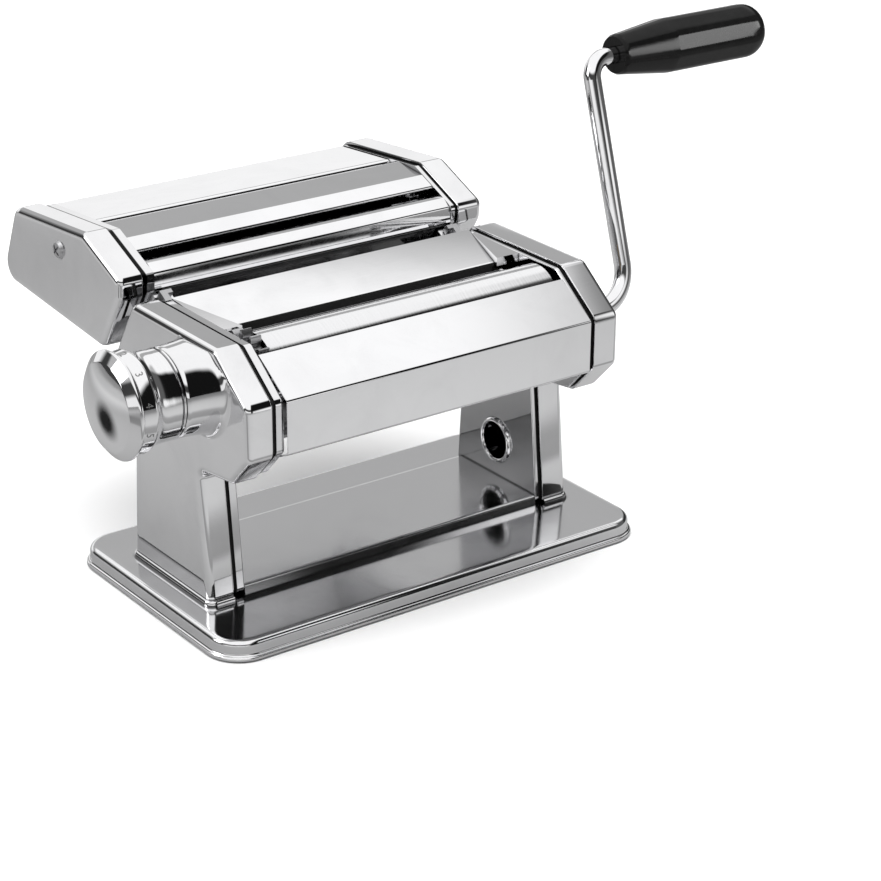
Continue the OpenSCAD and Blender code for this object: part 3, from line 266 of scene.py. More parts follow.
def textured_material(name, low, high, roughness, scale, depth, metallic=0.0, stretch=(1.0, 1.0, 1.0)):
    """A plain material with a mottled colour, uneven gloss and a fine surface grain."""
    material = bpy.data.materials.new(name)
    material.use_nodes = True
    tree = material.node_tree
    shader = tree.nodes["Principled BSDF"]
    shader.inputs["Metallic"].default_value = metallic
    place = add_node(tree, "ShaderNodeTexCoord")
    mapped = add_node(tree, "ShaderNodeMapping", {"Scale": stretch})
    tree.links.new(place.outputs["Object"], mapped.inputs["Vector"])
    grain = add_node(tree, "ShaderNodeTexNoise", {"Scale": scale, "Detail": 5.0})
    tree.links.new(mapped.outputs["Vector"], grain.inputs["Vector"])
    colour = add_node(tree, "ShaderNodeMix", data_type="RGBA")
    colour.inputs[6].default_value = (*low, 1.0)
    colour.inputs[7].default_value = (*high, 1.0)
    tree.links.new(grain.outputs["Fac"], colour.inputs["Factor"])
    tree.links.new(colour.outputs[2], shader.inputs["Base Color"])
    gloss = add_node(tree, "ShaderNodeMapRange", {"To Min": roughness[0], "To Max": roughness[1]})
    tree.links.new(grain.outputs["Fac"], gloss.inputs["Value"])
    tree.links.new(gloss.outputs["Result"], shader.inputs["Roughness"])
    bump = add_node(tree, "ShaderNodeBump", {"Strength": 0.6, "Distance": depth})
    tree.links.new(grain.outputs["Fac"], bump.inputs["Height"])
    tree.links.new(bump.outputs["Normal"], shader.inputs["Normal"])
    return material


def dress(material, *nodes):
    """Gives CAD nodes their finish."""
    for node in nodes:
        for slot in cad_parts[node].material_slots:
            slot.material = material


moulded_rubber = textured_material("moulded_rubber", (0.02, 0.02, 0.02), (0.05, 0.05, 0.05), (0.7, 0.9),
                                   700.0, 0.0002)
machined_steel = textured_material("machined_steel", (0.42, 0.42, 0.43), (0.58, 0.58, 0.59), (0.22, 0.38),
                                   9.0, 0.00003, 1.0, (400.0, 30.0, 30.0))
dress(moulded_rubber, "base_pad")
dress(machined_steel, "leg_screws")

# Floor plate
# The raised floor between the legs is folded from the same plated sheet as the base.
# Its front edge turns down to the tray over a tight bend, and the legs hold both ends.
inner_half = 76.85


def prism_along_x(mesh, outline, left, right):
    """A solid with a side-view outline, drawn along the rollers."""
    skin_rings(mesh, [[(x, y, z) for y, z in outline] for x in (left, right)])


floor_top = 13.4
floor_corners = [(-25.3, base_top), (34.4, base_top), (33.6, 11.4), (30.4, floor_top), (-24.6, floor_top)]
floor_radii = [0.05, 0.05, 1.2, 2.0, 1.3]
floor_mesh = bmesh.new()
prism_along_x(floor_mesh, rounded_outline(floor_corners, floor_radii), -inner_half, inner_half)
make_piece("raised_floor", floor_mesh, "frame", ["floor_plate"], base_chrome, crease=40)

# Inner frames
# Each side has a flanged frame pressed from steel sheet, with a flat web towards the rollers.
# Its rim is turned outwards, so that the outer shell slides over it like a lid over a box.
web_in = 77.0
web_thick = 1.5
sheet = 1.2
left_edge, left_face = 83.3, 95.0
right_edge, right_face = 79.9, 93.3
head_outline = [
    (29.0, 125.5), (-35.6, 125.5), (-59.0, 107.8), (-59.0, 85.0), (-45.5, 71.0), (-21.0, 68.0),
    (-27.0, base_top), (35.0, base_top), (31.0, 70.0), (45.97, 84.02), (45.97, 98.02),
]
head_radii = [5.0, 5.0, 5.0, 5.0, 5.0, 4.0, 4.0, 4.0, 4.0, 5.0, 5.0]
frame_inset = 1.35
web_bend = 0.6
groove_depth = 1.0


def side_ring(outline, radii, inset, x):
    return [(x, y, z) for y, z in rounded_outline(outline, radii, inset)]


def flanged_frame(mesh, outline, radii, side, rim_x, groove):
    """A flat web with its rim turned outwards and a groove beside the shell's edge, painted near black as
    shadow.

    The side is -1 on the left and 1 on the right."""
    bend = quarter((0.0, web_in), (web_bend, web_in + web_bend), 5, True)
    rings = [(web_in, frame_inset + web_bend + 0.8)]
    rings += [(x, frame_inset + web_bend - t) for t, x in bend]
    groove_band = len(rings)
    rings += [(groove[0], frame_inset), (groove[0], frame_inset + groove_depth)]
    rings += [(groove[1], frame_inset + groove_depth), (groove[1], frame_inset)]
    rings += [(rim_x, frame_inset), (rim_x, frame_inset + web_thick)]
    rings += [(web_in + web_thick, frame_inset + web_thick)]
    bands = skin_rings(mesh, [side_ring(outline, radii, inset, side * x) for x, inset in rings])
    # The groove's faces take seam_shadow: a painted shadow.
    for band in bands[groove_band:groove_band + 3]:
        for face in band:
            face.material_index = 1


def drill(piece, centre, radius, left, right):
    """Cuts a round hole along the rollers through a piece."""
    tool_mesh = bmesh.new()
    circle = [(centre[0] + radius * math.cos(a), centre[1] + radius * math.sin(a))
              for a in (2 * math.pi * k / 64 for k in range(64))]
    prism_along_x(tool_mesh, circle, left, right)
    bmesh.ops.recalc_face_normals(tool_mesh, faces=tool_mesh.faces)
    data = bpy.data.meshes.new("drill")
    tool_mesh.to_mesh(data)
    tool_mesh.free()
    tool = bpy.data.objects.new("drill", data)
    bpy.context.collection.objects.link(tool)
    cut = piece.modifiers.new("hole", "BOOLEAN")
    cut.object = tool
    cut.solver = "EXACT"
    weighted = piece.modifiers["flat_faces_stay_flat"]
    piece.modifiers.remove(weighted)
    bpy.context.view_layer.update()
    cut_mesh = bpy.data.meshes.new_from_object(piece.evaluated_get(bpy.context.evaluated_depsgraph_get()))
    piece.modifiers.clear()
    cut_mesh.set_sharp_from_angle(angle=math.radians(32))
    piece.data = cut_mesh
    piece.modifiers.new("flat_faces_stay_flat", "WEIGHTED_NORMAL").keep_sharp = True
    bpy.data.objects.remove(tool)


frame_chrome = chromed_sheet("frame_chrome", (0.82, 0.82, 0.83), (0.76, 0.76, 0.77), 0.04, 0.1)
# seam_shadow is near black and paints shadow into grooves and gaps.
seam_shadow = textured_material("seam_shadow", (0.004, 0.004, 0.004), (0.012, 0.012, 0.012), (0.8, 0.95),
                                600.0, 0.00005)
clamp_hole = (4.4, 30.5)
drive_axis = (-3.822, 84.479)
adjusting_axis = (-25.903, 109.003)
drive_hole, block_hole, rim_seat = 8.5, 9.6, 10.0
for side_name, side, rim, groove in (("left", -1, 92.4, (80.7, 82.5)), ("right", 1, 90.7, (78.5, 80.1))):
    frame_mesh = bmesh.new()
    flanged_frame(frame_mesh, head_outline, head_radii, side, rim, groove)
    inner_frame = make_piece(side_name + "_flanged_frame", frame_mesh, "frame", [side_name + "_inner_frame"],
                             frame_chrome, second=seam_shadow)
    low, high = sorted((side * (web_in - 2), side * (web_in + 4)))
    drill(inner_frame, drive_axis, drive_hole, low, high)
    drill(inner_frame, adjusting_axis, block_hole, low, high)
    if side > 0:
        drill(inner_frame, clamp_hole, rim_seat, low, high)

# Clamp hole rim and inner fasteners
# A turned collar lines the hole in the right leg, where the table clamp hooks in.
# Tie rods with nuts hold the two frames at their distance, and bronze bushes carry the shafts.
bright_chrome = chromed_sheet("bright_chrome", (0.86, 0.86, 0.87), (0.8, 0.8, 0.81), 0.035, 0.09)
sintered_bronze = textured_material("sintered_bronze", (0.42, 0.27, 0.11), (0.6, 0.42, 0.2), (0.3, 0.45),
                                    900.0, 0.00005, 1.0)


def turned_skin(mesh, profile, centre, side, limit=None, count=96, closed_tube=False):
    """A turned shape from (radius, x) points; limit may hold a ring's radius back at some angles."""
    rings = []
    for radius, x in profile:
        ring = []
        for k in range(count):
            angle = 2 * math.pi * k / count
            r = radius if limit is None else min(radius, limit(angle, x))
            ring.append((side * x, centre[0] + r * math.cos(angle), centre[1] + r * math.sin(angle)))
        rings.append(ring)
    skin_rings(mesh, rings, closed_tube)


rim_mesh = bmesh.new()
rim_profile = [(8.5, 76.6), (8.62, 76.1), (8.95, 75.65), (9.4, 75.45), (9.9, 75.55), (10.35, 75.9),
               (10.65, 76.4), (10.75, 77.0), (9.95, 77.0), (9.95, 82.0), (8.5, 82.0)]
turned_skin(rim_mesh, rim_profile, clamp_hole, 1, closed_tube=True)
make_piece("turned_clamp_rim", rim_mesh, "frame", ["clamp_hole_rim"], bright_chrome, crease=40)
dress(machined_steel, "tie_rods", "tie_rod_nuts", "block_guides", "front_scraper", "rear_scraper",
      "cutter_rails")
dress(sintered_bronze, "drive_bushes", "block_bushes", "regulator_bush")

# Outer shells
# Each shell is one deep pressing of chromed steel: the side of the head and its leg together.
# It has a rounded rim all round, and its foot flares out where it stands on the tray.
shell_round = 3.0
foot_flare = 1.3
foot_height = 2.6
foot_front, foot_back = -26.8, 34.8


def pressed_lid(mesh, outline, radii, side, edge, face, steps=7):
    """A pressed lid with a rounded rim, open towards the rollers."""
    inner = shell_round - sheet
    turn = face - shell_round
    arc = [math.pi / 2 * k / steps for k in range(steps + 1)]
    rings = [(face - sheet, shell_round + 0.8)]
    rings += [(turn + inner * math.sin(a), shell_round - inner * math.cos(a)) for a in reversed(arc)]
    rings += [(edge, sheet), (edge, 0.4), (edge + 0.12, 0.12), (edge + 0.4, 0.0)]
    rings += [(turn + shell_round * math.sin(a), shell_round * (1 - math.cos(a))) for a in arc]
    rings += [(face, shell_round + 0.8)]
    skin_rings(mesh, [side_ring(outline, radii, inset, side * x) for x, inset in rings])


def flared_foot(mesh, side, edge, face):
    """The hollow curve at the foot of a leg, round its front, its outside and its back."""
    rim = shell_round
    plan = [(edge + 0.3, foot_front, 0.0, -1.0)]
    for middle_y, start in ((foot_front + rim, -math.pi / 2), (foot_back - rim, 0.0)):
        for k in range(9):
            angle = start + math.pi / 2 * k / 8
            out_x, out_y = math.cos(angle), math.sin(angle)
            plan.append((face - rim + rim * out_x, middle_y + rim * out_y, out_x, out_y))
    plan.append((edge + 0.3, foot_back, 0.0, 1.0))
    section = [(-1.0, base_top + foot_height), (-1.0, base_top), (foot_flare, base_top)]
    section += quarter((foot_flare, base_top + 0.6), (0.0, base_top + foot_height), 8)
    skin_rings(mesh, [[(side * (x + u * out_x), y + u * out_y, z) for u, z in section]
                      for x, y, out_x, out_y in plan])


shell_chrome = chromed_sheet("shell_chrome", (0.84, 0.84, 0.85), (0.78, 0.78, 0.79), 0.03, 0.08, ripple=22.0)
regulator_axis = (-25.0, 108.0)
socket_hole, regulator_hole, collar_hole = 7.6, 4.5, 13.4
for side_name, side, edge, face in (("left", -1, left_edge, left_face), ("right", 1, right_edge, right_face)):
    shell_mesh = bmesh.new()
    pressed_lid(shell_mesh, head_outline, head_radii, side, edge, face)
    shell = make_piece(side_name + "_side_shell", shell_mesh, "frame", [side_name + "_outer_shell"],
                       shell_chrome)
    low, high = sorted((side * (face - 2), side * (face + 2)))
    if side > 0:
        drill(shell, drive_axis, socket_hole, low, high)
        drill(shell, regulator_axis, regulator_hole, low, high)
    else:
        drill(shell, regulator_axis, collar_hole, low, high)
    foot_mesh = bmesh.new()
    flared_foot(foot_mesh, side, edge, face)
    make_piece(side_name + "_leg_foot", foot_mesh, "frame", [], shell_chrome, crease=50)

# Front panel and hopper plate
# The front panel is folded from polished sheet over the front roller, and the hopper plate
# slopes down behind it to the gap where the dough goes in, with a wing at each end.
panel_sheet = 1.2
front_sheet = 0.5
front_bend = 1.3


def folded_strip(mesh, path, bend_radius, thick, half):
    """A folded sheet from its side-view path; the sheet lies on the left of the path."""
    line = []
    for i, point in enumerate(path):
        if i in (0, len(path) - 1):
            line.append(Vector(point))
            continue
        here = Vector(point)
        back, ahead = towards(point, path[i - 1]), towards(point, path[i + 1])
        half_angle = back.angle(ahead) / 2
        cut = bend_radius / math.tan(half_angle)
        start, end = here + back * cut, here + ahead * cut
        for k in range(9):
            t = k / 8
            line.append(start * (1 - t) ** 2 + here * 2 * t * (1 - t) + end * t ** 2)
    inner = []
    for i, point in enumerate(line):
        along = (line[min(i + 1, len(line) - 1)] - line[max(i - 1, 0)]).normalized()
        inner.append(point + Vector((-along.y, along.x)) * thick)
    outline = [(p.x, p.y) for p in line] + [(p.x, p.y) for p in reversed(inner)]
    prism_along_x(mesh, outline, -half, half)


panel_chrome = chromed_sheet("panel_chrome", (0.88, 0.88, 0.89), (0.83, 0.83, 0.84), 0.03, 0.07,
                             ripple=16.0, wave=0.00008)
front_mesh = bmesh.new()
front_path = [(-39.5, 120.8), (-60.0, 107.8), (-60.0, 84.6), (-53.0, 81.6)]
folded_strip(front_mesh, front_path, front_bend, front_sheet, inner_half)
make_piece("folded_front", front_mesh, "frame", ["front_panel"], panel_chrome, crease=40)
hopper_top = [(27.0, 124.8), (-5.0, 121.16), (-5.8, 120.9), (-6.2, 120.2), (-6.3, 117.2)]
hopper_under = [(27.0, 123.8), (-4.6, 120.2), (-5.1, 120.0), (-5.3, 119.6), (-5.3, 117.2)]
hopper_halves = [inner_half, 66.3, 66.05, 65.95, 65.95]
hopper_mesh = bmesh.new()
hopper_rings = [[(-half, *top), (half, *top), (half, *under), (-half, *under)]
                for top, under, half in zip(hopper_top, hopper_under, hopper_halves)]
hopper_bands = skin_rings(hopper_mesh, hopper_rings)
# The front of the turned-down edge takes seam_shadow: painted shadow for the dark gap before the rollers.
for band in hopper_bands[2:]:
    band[0].material_index = 1
wing_edge, wing_start = -9.0, 65.2
for side, wing_front in ((-1, 121.3), (1, 124.0)):
    wing_plan = [(side * inner_half, 27.0), (side * inner_half, wing_edge), (side * wing_start, wing_edge)]
    skin_rings(hopper_mesh, [[(x, y, z) for (x, y), z in zip(wing_plan, heights)]
                             for heights in ((124.0, 120.2, 120.2), (124.7, wing_front, wing_front))])
hopper_lip = [(27.0, 124.6), (31.6, 117.1), (30.7, 116.6), (26.1, 124.0)]
lip_half = 73.4
prism_along_x(hopper_mesh, hopper_lip, -lip_half, lip_half)
make_piece("folded_hopper", hopper_mesh, "frame", ["hopper_plate"], panel_chrome, crease=30,
           second=seam_shadow)
# Deep painted shade: the guides' colour goes near black wherever other pieces stand within 12 mm.
guide_chrome = chromed_sheet("guide_chrome", (0.8, 0.8, 0.81), (0.74, 0.74, 0.75), 0.05, 0.1,
                             shade_amount=1.0, reach=0.012)
dress(guide_chrome, "left_dough_guide", "right_dough_guide")

# Smooth rollers, shafts and gears
# Two ground and chromed rollers squeeze the dough; the back one is driven by the crank.
# Steel gears at the left end turn them together, and sliding blocks carry the front one.


def turned_rings_group():
    """Fine rings left by turning round an axis that runs along the rollers."""
    number = "NodeSocketFloat"
    group, given, result = new_group(
        "turned_rings", [("Rings", number)], [("Height", number), ("Shade", number)])
    link = group.links.new
    place = add_node(group, "ShaderNodeTexCoord")
    split = add_node(group, "ShaderNodeSeparateXYZ")
    link(place.outputs["Object"], split.inputs["Vector"])
    along = add_node(group, "ShaderNodeMath", operation="MULTIPLY")
    link(split.outputs["X"], along.inputs[0])
    link(given.outputs["Rings"], along.inputs[1])
    rings = add_node(group, "ShaderNodeTexNoise", {"Scale": 1.0, "Detail": 3.0}, noise_dimensions="1D")
    link(along.outputs["Value"], rings.inputs["W"])
    link(rings.outputs["Fac"], result.inputs["Height"])
    link(rings.outputs["Fac"], result.inputs["Shade"])
    return group


turned_rings = turned_rings_group()


def turned_chrome(name, bright, dull, rings, depth, roughness, reach=0.002, shade_amount=0.5):
    """Plated metal with the faint rings of a lathe or grinder, painted dark where it lies deep between other
    pieces.
    """
    material = bpy.data.materials.new(name)
    material.use_nodes = True
    tree = material.node_tree
    shader = tree.nodes["Principled BSDF"]
    shader.inputs["Metallic"].default_value = 1.0
    finish = add_node(tree, "ShaderNodeGroup", node_tree=turned_rings)
    finish.inputs["Rings"].default_value = rings
    colour = add_node(tree, "ShaderNodeMix", data_type="RGBA")
    colour.inputs[6].default_value = (*dull, 1.0)
    colour.inputs[7].default_value = (*bright, 1.0)
    tree.links.new(finish.outputs["Shade"], colour.inputs["Factor"])
    # Painted shade: the colour goes to near black where the surface lies deep between other pieces.
    depths = add_node(tree, "ShaderNodeGroup", node_tree=painted_seam_shade)
    depths.inputs["Reach"].default_value = reach
    depths.inputs["Amount"].default_value = shade_amount
    shaded = add_node(tree, "ShaderNodeMix", data_type="RGBA")
    shaded.inputs[7].default_value = (0.006, 0.006, 0.006, 1.0)
    tree.links.new(depths.outputs["Mask"], shaded.inputs["Factor"])
    tree.links.new(colour.outputs[2], shaded.inputs[6])
    tree.links.new(shaded.outputs[2], shader.inputs["Base Color"])
    gloss = add_node(tree, "ShaderNodeMapRange", {"To Min": roughness[0], "To Max": roughness[1]})
    tree.links.new(finish.outputs["Shade"], gloss.inputs["Value"])
    tree.links.new(gloss.outputs["Result"], shader.inputs["Roughness"])
    bump = add_node(tree, "ShaderNodeBump", {"Strength": 0.5, "Distance": depth})
    tree.links.new(finish.outputs["Height"], bump.inputs["Height"])
    tree.links.new(bump.outputs["Normal"], shader.inputs["Normal"])
    return material


# Deep painted shade: the rollers' colour goes near black where other pieces stand within 12 mm, so the gaps
# between them read dark.
ground_chrome = turned_chrome("ground_chrome", (0.86, 0.86, 0.87), (0.78, 0.78, 0.79), 900.0, 0.00002,
                              (0.05, 0.12), reach=0.012, shade_amount=1.0)
dress(ground_chrome, "drive_roller", "adjusting_roller", "drive_shaft")
dress(machined_steel, "drive_gear", "driven_gear", "left_bearing_block", "right_bearing_block", "scroll_pins",
      "regulator_shaft", "scroll_discs")

# Setting knob
# The collar is drawn out of the left shell, and the knob is turned from solid and plated.
# It is pulled out against a spring and turned to one of the numbers stamped round its ring.
collar_length = 17.0
collar_root = 22.5
seam_radius = 18.7
collar_end = left_face + collar_length
knob_start = collar_end + 0.4
knob_rim = collar_end + 22.0
rim_radius = 22.4


def ray_to_outline(centre, angle, outline):
    """The distance from a centre to a closed outline in one direction."""
    way = Vector((math.cos(angle), math.sin(angle)))
    best = 1e9
    for i, point in enumerate(outline):
        start, end = Vector(outline[i - 1]) - Vector(centre), Vector(point) - Vector(centre)
        side = end - start
        cross = way.cross(side)
        if abs(cross) < 1e-9:
            continue
        reach, part = start.cross(side) / cross, start.cross(way) / cross
        if reach > 0 and -1e-6 <= part <= 1 + 1e-6:
            best = min(best, reach)
    return best


def collar_limit(angle, x):
    """The collar's root stays inside the shell's face, and leaves its outline behind further out."""
    spread = min(1.0, max(0.0, (x - left_face) / (collar_length * 0.5)))
    inset = 1.6 - 5.6 * spread
    return ray_to_outline(regulator_axis, angle, rounded_outline(head_outline, head_radii, inset, steps=4))


def smooth_profile(points, steps=6):
    """Rounds a (radius, x) profile with short curves between the given points."""
    curve = []
    for i in range(len(points) - 1):
        p0, p1 = Vector(points[max(i - 1, 0)]), Vector(points[i])
        p2, p3 = Vector(points[i + 1]), Vector(points[min(i + 2, len(points) - 1)])
        for k in range(steps):
            t = k / steps
            curve.append(0.5 * (2 * p1 + (p2 - p0) * t + (2 * p0 - 5 * p1 + 4 * p2 - p3) * t * t
                                + (3 * p1 - p0 - 3 * p2 + p3) * t ** 3))
    curve.append(Vector(points[-1]))
    return [(p.x, p.y) for p in curve]


knob_chrome = turned_chrome("knob_chrome", (0.87, 0.87, 0.88), (0.82, 0.82, 0.83), 500.0, 0.00001,
                            (0.03, 0.08))
collar_mesh = bmesh.new()
collar_curve = smooth_profile([(collar_root, left_face), (collar_root - 2.2, left_face + 1.8),
                               (seam_radius + 0.6, left_face + collar_length * 0.45),
                               (seam_radius, collar_end - 0.8)])
collar_profile = [(12.5, left_face - 1.0), (12.9, left_face)] + collar_curve + [
    (seam_radius - 0.5, collar_end), (3.1, collar_end)]
turned_skin(collar_mesh, collar_profile, regulator_axis, -1, collar_limit)
make_piece("drawn_collar", collar_mesh, "frame", ["knob_collar"], shell_chrome, crease=45)

ring_start, ring_end = knob_rim - 6.4, knob_rim - 1.7
ring_high, ring_low = 21.1, 20.2
body_mesh = bmesh.new()
body_curve = smooth_profile([(seam_radius, knob_start + 2.2), (seam_radius + 0.1, knob_start + 6.0),
                             (seam_radius + 0.5, knob_start + 11.0), (ring_high - 0.4, ring_start - 1.2)])
body_profile = [(3.1, knob_start), (seam_radius - 0.4, knob_start), (seam_radius + 0.1, knob_start + 0.4),
                (seam_radius + 0.1, knob_start + 1.2), (seam_radius - 0.7, knob_start + 1.5),
                (seam_radius - 0.7, knob_start + 1.9)] + body_curve + [
    (ring_high, ring_start), (ring_low, ring_end), (ring_low - 1.0, ring_end + 0.3),
    (ring_low - 1.0, knob_rim - 0.9), (8.0, knob_rim - 0.9)]
turned_skin(body_mesh, body_profile, regulator_axis, -1)
make_piece("turned_knob", body_mesh, "knob", ["knob_body"], knob_chrome)

cap_mesh = bmesh.new()
dome_radius = rim_radius - 4.5
dome_rise = 3.1
dome_foot = knob_rim + 4.2
dome_ball = (dome_radius ** 2 + dome_rise ** 2) / (2 * dome_rise)
dome_tilt = math.asin(dome_radius / dome_ball)
dome = [(dome_ball * math.sin(a), dome_foot + dome_rise - dome_ball * (1 - math.cos(a))) for a in
        (dome_tilt * (1 - k / 16) for k in range(16))]
cap_profile = [(17.5, knob_rim - 0.7), (rim_radius - 0.5, knob_rim - 0.7), (rim_radius - 0.1, knob_rim - 0.4),
               (rim_radius, knob_rim), (rim_radius, knob_rim + 0.5), (rim_radius - 0.15, knob_rim + 0.85),
               (rim_radius - 0.5, knob_rim + 1.2), (dome_radius + 0.7, knob_rim + 3.85),
               (dome_radius + 0.35, knob_rim + 4.05)] + dome + [(0.3, dome_foot + dome_rise)]
turned_skin(cap_mesh, cap_profile, regulator_axis, -1)
make_piece("knob_dome", cap_mesh, "knob", ["knob_cap"], knob_chrome, crease=25)

stamped_paint = textured_material("stamped_numbers", (0.1, 0.1, 0.1), (0.3, 0.3, 0.3), (0.3, 0.5),
                                  800.0, 0.00002, 0.6)
number_height = 3.2
letter_size = 1.35
number_depth = 0.06
number_count = 10
first_turn = 0.35
for number in range(number_count):
    letters = bpy.data.curves.new("knob_number", "FONT")
    letters.body = str(number)
    letters.align_x = "CENTER"
    letters.align_y = "CENTER"
    letters.size = number_height * letter_size * MM
    letters.extrude = number_depth * MM
    letters.resolution_u = 3
    drawn = bpy.data.objects.new("knob_number", letters)
    bpy.context.collection.objects.link(drawn)
    bpy.context.view_layer.update()
    flat = bpy.data.meshes.new_from_object(drawn.evaluated_get(bpy.context.evaluated_depsgraph_get()))
    bpy.data.objects.remove(drawn)
    turn = 2 * math.pi * number / number_count + first_turn
    ring_middle = (ring_start + ring_end) / 2 * MM
    ring_slope = (ring_low - ring_high) / (ring_end - ring_start)
    for vertex in flat.vertices:
        radius = (ring_high + ring_low) / 2 * MM - ring_slope * vertex.co.y + vertex.co.z
        angle = turn + vertex.co.x / (ring_high * MM)
        vertex.co = Vector((vertex.co.y - ring_middle,
                            regulator_axis[0] * MM + radius * math.cos(angle),
                            regulator_axis[1] * MM + radius * math.sin(angle)))
    flat.materials.append(stamped_paint)
    figure = bpy.data.objects.new("knob_number_%d" % number, flat)
    bpy.context.collection.objects.link(figure)
    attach(figure, "knob")
dress(machined_steel, "knob_screw", "knob_spring", "detent_pin")

# Crank and grip
# The crank is a bent plated rod with a cross pin that drops into the slot of the drive shaft.
# Its black plastic grip is moulded with a tapered neck and long flats, and spins on the rod.
rod_chrome = chromed_sheet("rod_chrome", (0.88, 0.88, 0.89), (0.82, 0.82, 0.83), 0.03, 0.08, shade_amount=0.4)
dress(rod_chrome, "crank_rod")
dress(machined_steel, "crank_pin")
grip_start, grip_length = 160.5, 85.0
grip_axis = (29.671, 191.354)
grip_radius, neck_radius = 13.0, 9.5
shoulder = 29.0
end_start = 74.0
crank_lean = math.radians(17.4)
grip_flats = 8
half_flat = math.pi / grip_flats
flat_depth = 1.035


def grip_section(t):
    """Round radius and flatness of the grip at a distance from its inner end."""
    if t < 2.0:
        return neck_radius - 1.0 + t / 2, 0.0
    if t < shoulder:
        return neck_radius + (grip_radius - neck_radius) * (t - 2) / (shoulder - 2), 0.7
    if t < end_start:
        return grip_radius, 1.0
    u = (t - end_start) / (grip_length - end_start)
    return grip_radius - 5.4 * (1 - math.sqrt(max(0.0, 1 - u ** 2.2))), 0.9 * (1 - u)


grip_mesh = bmesh.new()
grip_rings = []
stations = ([0.0, 0.7, 1.4, 2.0, 2.6] + [2.6 + (shoulder - 2.6) * k / 8 for k in range(1, 8)]
            + [shoulder - 0.4, shoulder + 0.4]
            + [shoulder + (end_start - shoulder) * k / 6 for k in range(1, 6)]
            + [end_start + (grip_length - end_start) * math.sin(math.pi / 2 * k / 12) for k in range(13)])
for t in stations:
    radius, flat = grip_section(t)
    ring = []
    for k in range(96):
        angle = 2 * math.pi * k / 96
        sector = (angle + crank_lean + half_flat) % (2 * half_flat) - half_flat
        facet = math.cos(half_flat) * flat_depth / max(0.2, math.cos(sector))
        r = radius * (1 - flat + flat * min(1.0, facet))
        ring.append((grip_start + t, grip_axis[0] + r * math.cos(angle), grip_axis[1] + r * math.sin(angle)))
    grip_rings.append(ring)
skin_rings(grip_mesh, grip_rings)
gloss_black = textured_material("gloss_black_plastic", (0.003, 0.003, 0.003), (0.007, 0.007, 0.007),
                                (0.1, 0.17), 260.0, 0.00001)
gloss_black.node_tree.nodes["Principled BSDF"].inputs["Specular IOR Level"].default_value = 0.14
moulded_grip = make_piece("moulded_grip", grip_mesh, "grip", ["crank_grip", "grip_plug"],
                          gloss_black, crease=20)

# Cutter covers and plates
# The clip-on cutter has its own pair of flanged plates, closed by pressed covers like the head's.
# A cross-head screw holds each cover, and hooks on the plates slide down over the head's rails.
cutter_outline = [
    (130.0, 140.2), (68.0, 145.0), (38.5, 132.4), (39.4, 123.7), (55.5, 97.2), (141.0, 104.2), (141.5, 114.0),
]
cutter_radii = [8.0, 5.0, 4.0, 4.0, 5.0, 8.5, 8.5]
broad_axis, thin_axis = (88.4, 121.0), (63.6, 121.0)
cover_screw = (89.4, 131.7)
screw_hole, cutter_socket_hole = 2.1, 6.05
for side_name, side, edge, face in (("left", -1, left_edge, left_face), ("right", 1, right_edge, right_face)):
    cover_mesh = bmesh.new()
    pressed_lid(cover_mesh, cutter_outline, cutter_radii, side, edge, face)
    cover = make_piece("cutter_%s_lid" % side_name, cover_mesh, "cutter", ["cutter_%s_cover" % side_name],
                       shell_chrome)
    low, high = sorted((side * (face - 2), side * (face + 2)))
    drill(cover, cover_screw, screw_hole, low, high)
    if side > 0:
        drill(cover, broad_axis, cutter_socket_hole, low, high)
        drill(cover, thin_axis, cutter_socket_hole, low, high)


def cover_gap_group():
    """A mask of painted shade along a cover's edge, from a distance to the middle of the machine outwards."""
    number = "NodeSocketFloat"
    group, given, result = new_group("painted_gap_shade", [("Start", number), ("End", number)], [("Mask", number)])
    link = group.links.new
    split = add_node(group, "ShaderNodeSeparateXYZ")
    link(add_node(group, "ShaderNodeTexCoord").outputs["Object"], split.inputs["Vector"])
    sideways = add_node(group, "ShaderNodeMath", operation="ABSOLUTE")
    link(split.outputs["X"], sideways.inputs[0])
    gap = add_node(group, "ShaderNodeMapRange")
    link(sideways.outputs["Value"], gap.inputs["Value"])
    link(given.outputs["Start"], gap.inputs["From Min"])
    link(given.outputs["End"], gap.inputs["From Max"])
    link(gap.outputs["Result"], result.inputs["Mask"])
    return group


painted_gap_shade = cover_gap_group()
gap_blur = 0.3
for side_name, edge, gap_width in (("left", left_edge, 2.9), ("right", right_edge, 1.2)):
    # Each plate gets full painted seam shade within 3.5 mm, and a painted dark band beside its cover's edge.
    plate_chrome = chromed_sheet("plate_chrome_" + side_name, (0.82, 0.82, 0.83), (0.76, 0.76, 0.77),
                                 0.04, 0.1, shade_amount=1.0, reach=0.0035)
    tree = plate_chrome.node_tree
    shader = tree.nodes["Principled BSDF"]
    gap = add_node(tree, "ShaderNodeGroup", node_tree=painted_gap_shade)
    gap.inputs["Start"].default_value = (edge - gap_width) * MM
    gap.inputs["End"].default_value = (edge - gap_width + gap_blur) * MM
    # Painted shade: past that distance the plate's colour goes to near black, as if in the shadow of the
    # cover's gap.
    darkened = add_node(tree, "ShaderNodeMix", data_type="RGBA")
    darkened.inputs[7].default_value = (0.01, 0.01, 0.01, 1.0)
    tree.links.new(gap.outputs["Mask"], darkened.inputs["Factor"])
    tree.links.new(shader.inputs["Base Color"].links[0].from_socket, darkened.inputs[6])
    tree.links.new(darkened.outputs[2], shader.inputs["Base Color"])
    dress(plate_chrome, "cutter_%s_plate" % side_name)
dress(machined_steel, "cutter_screws")

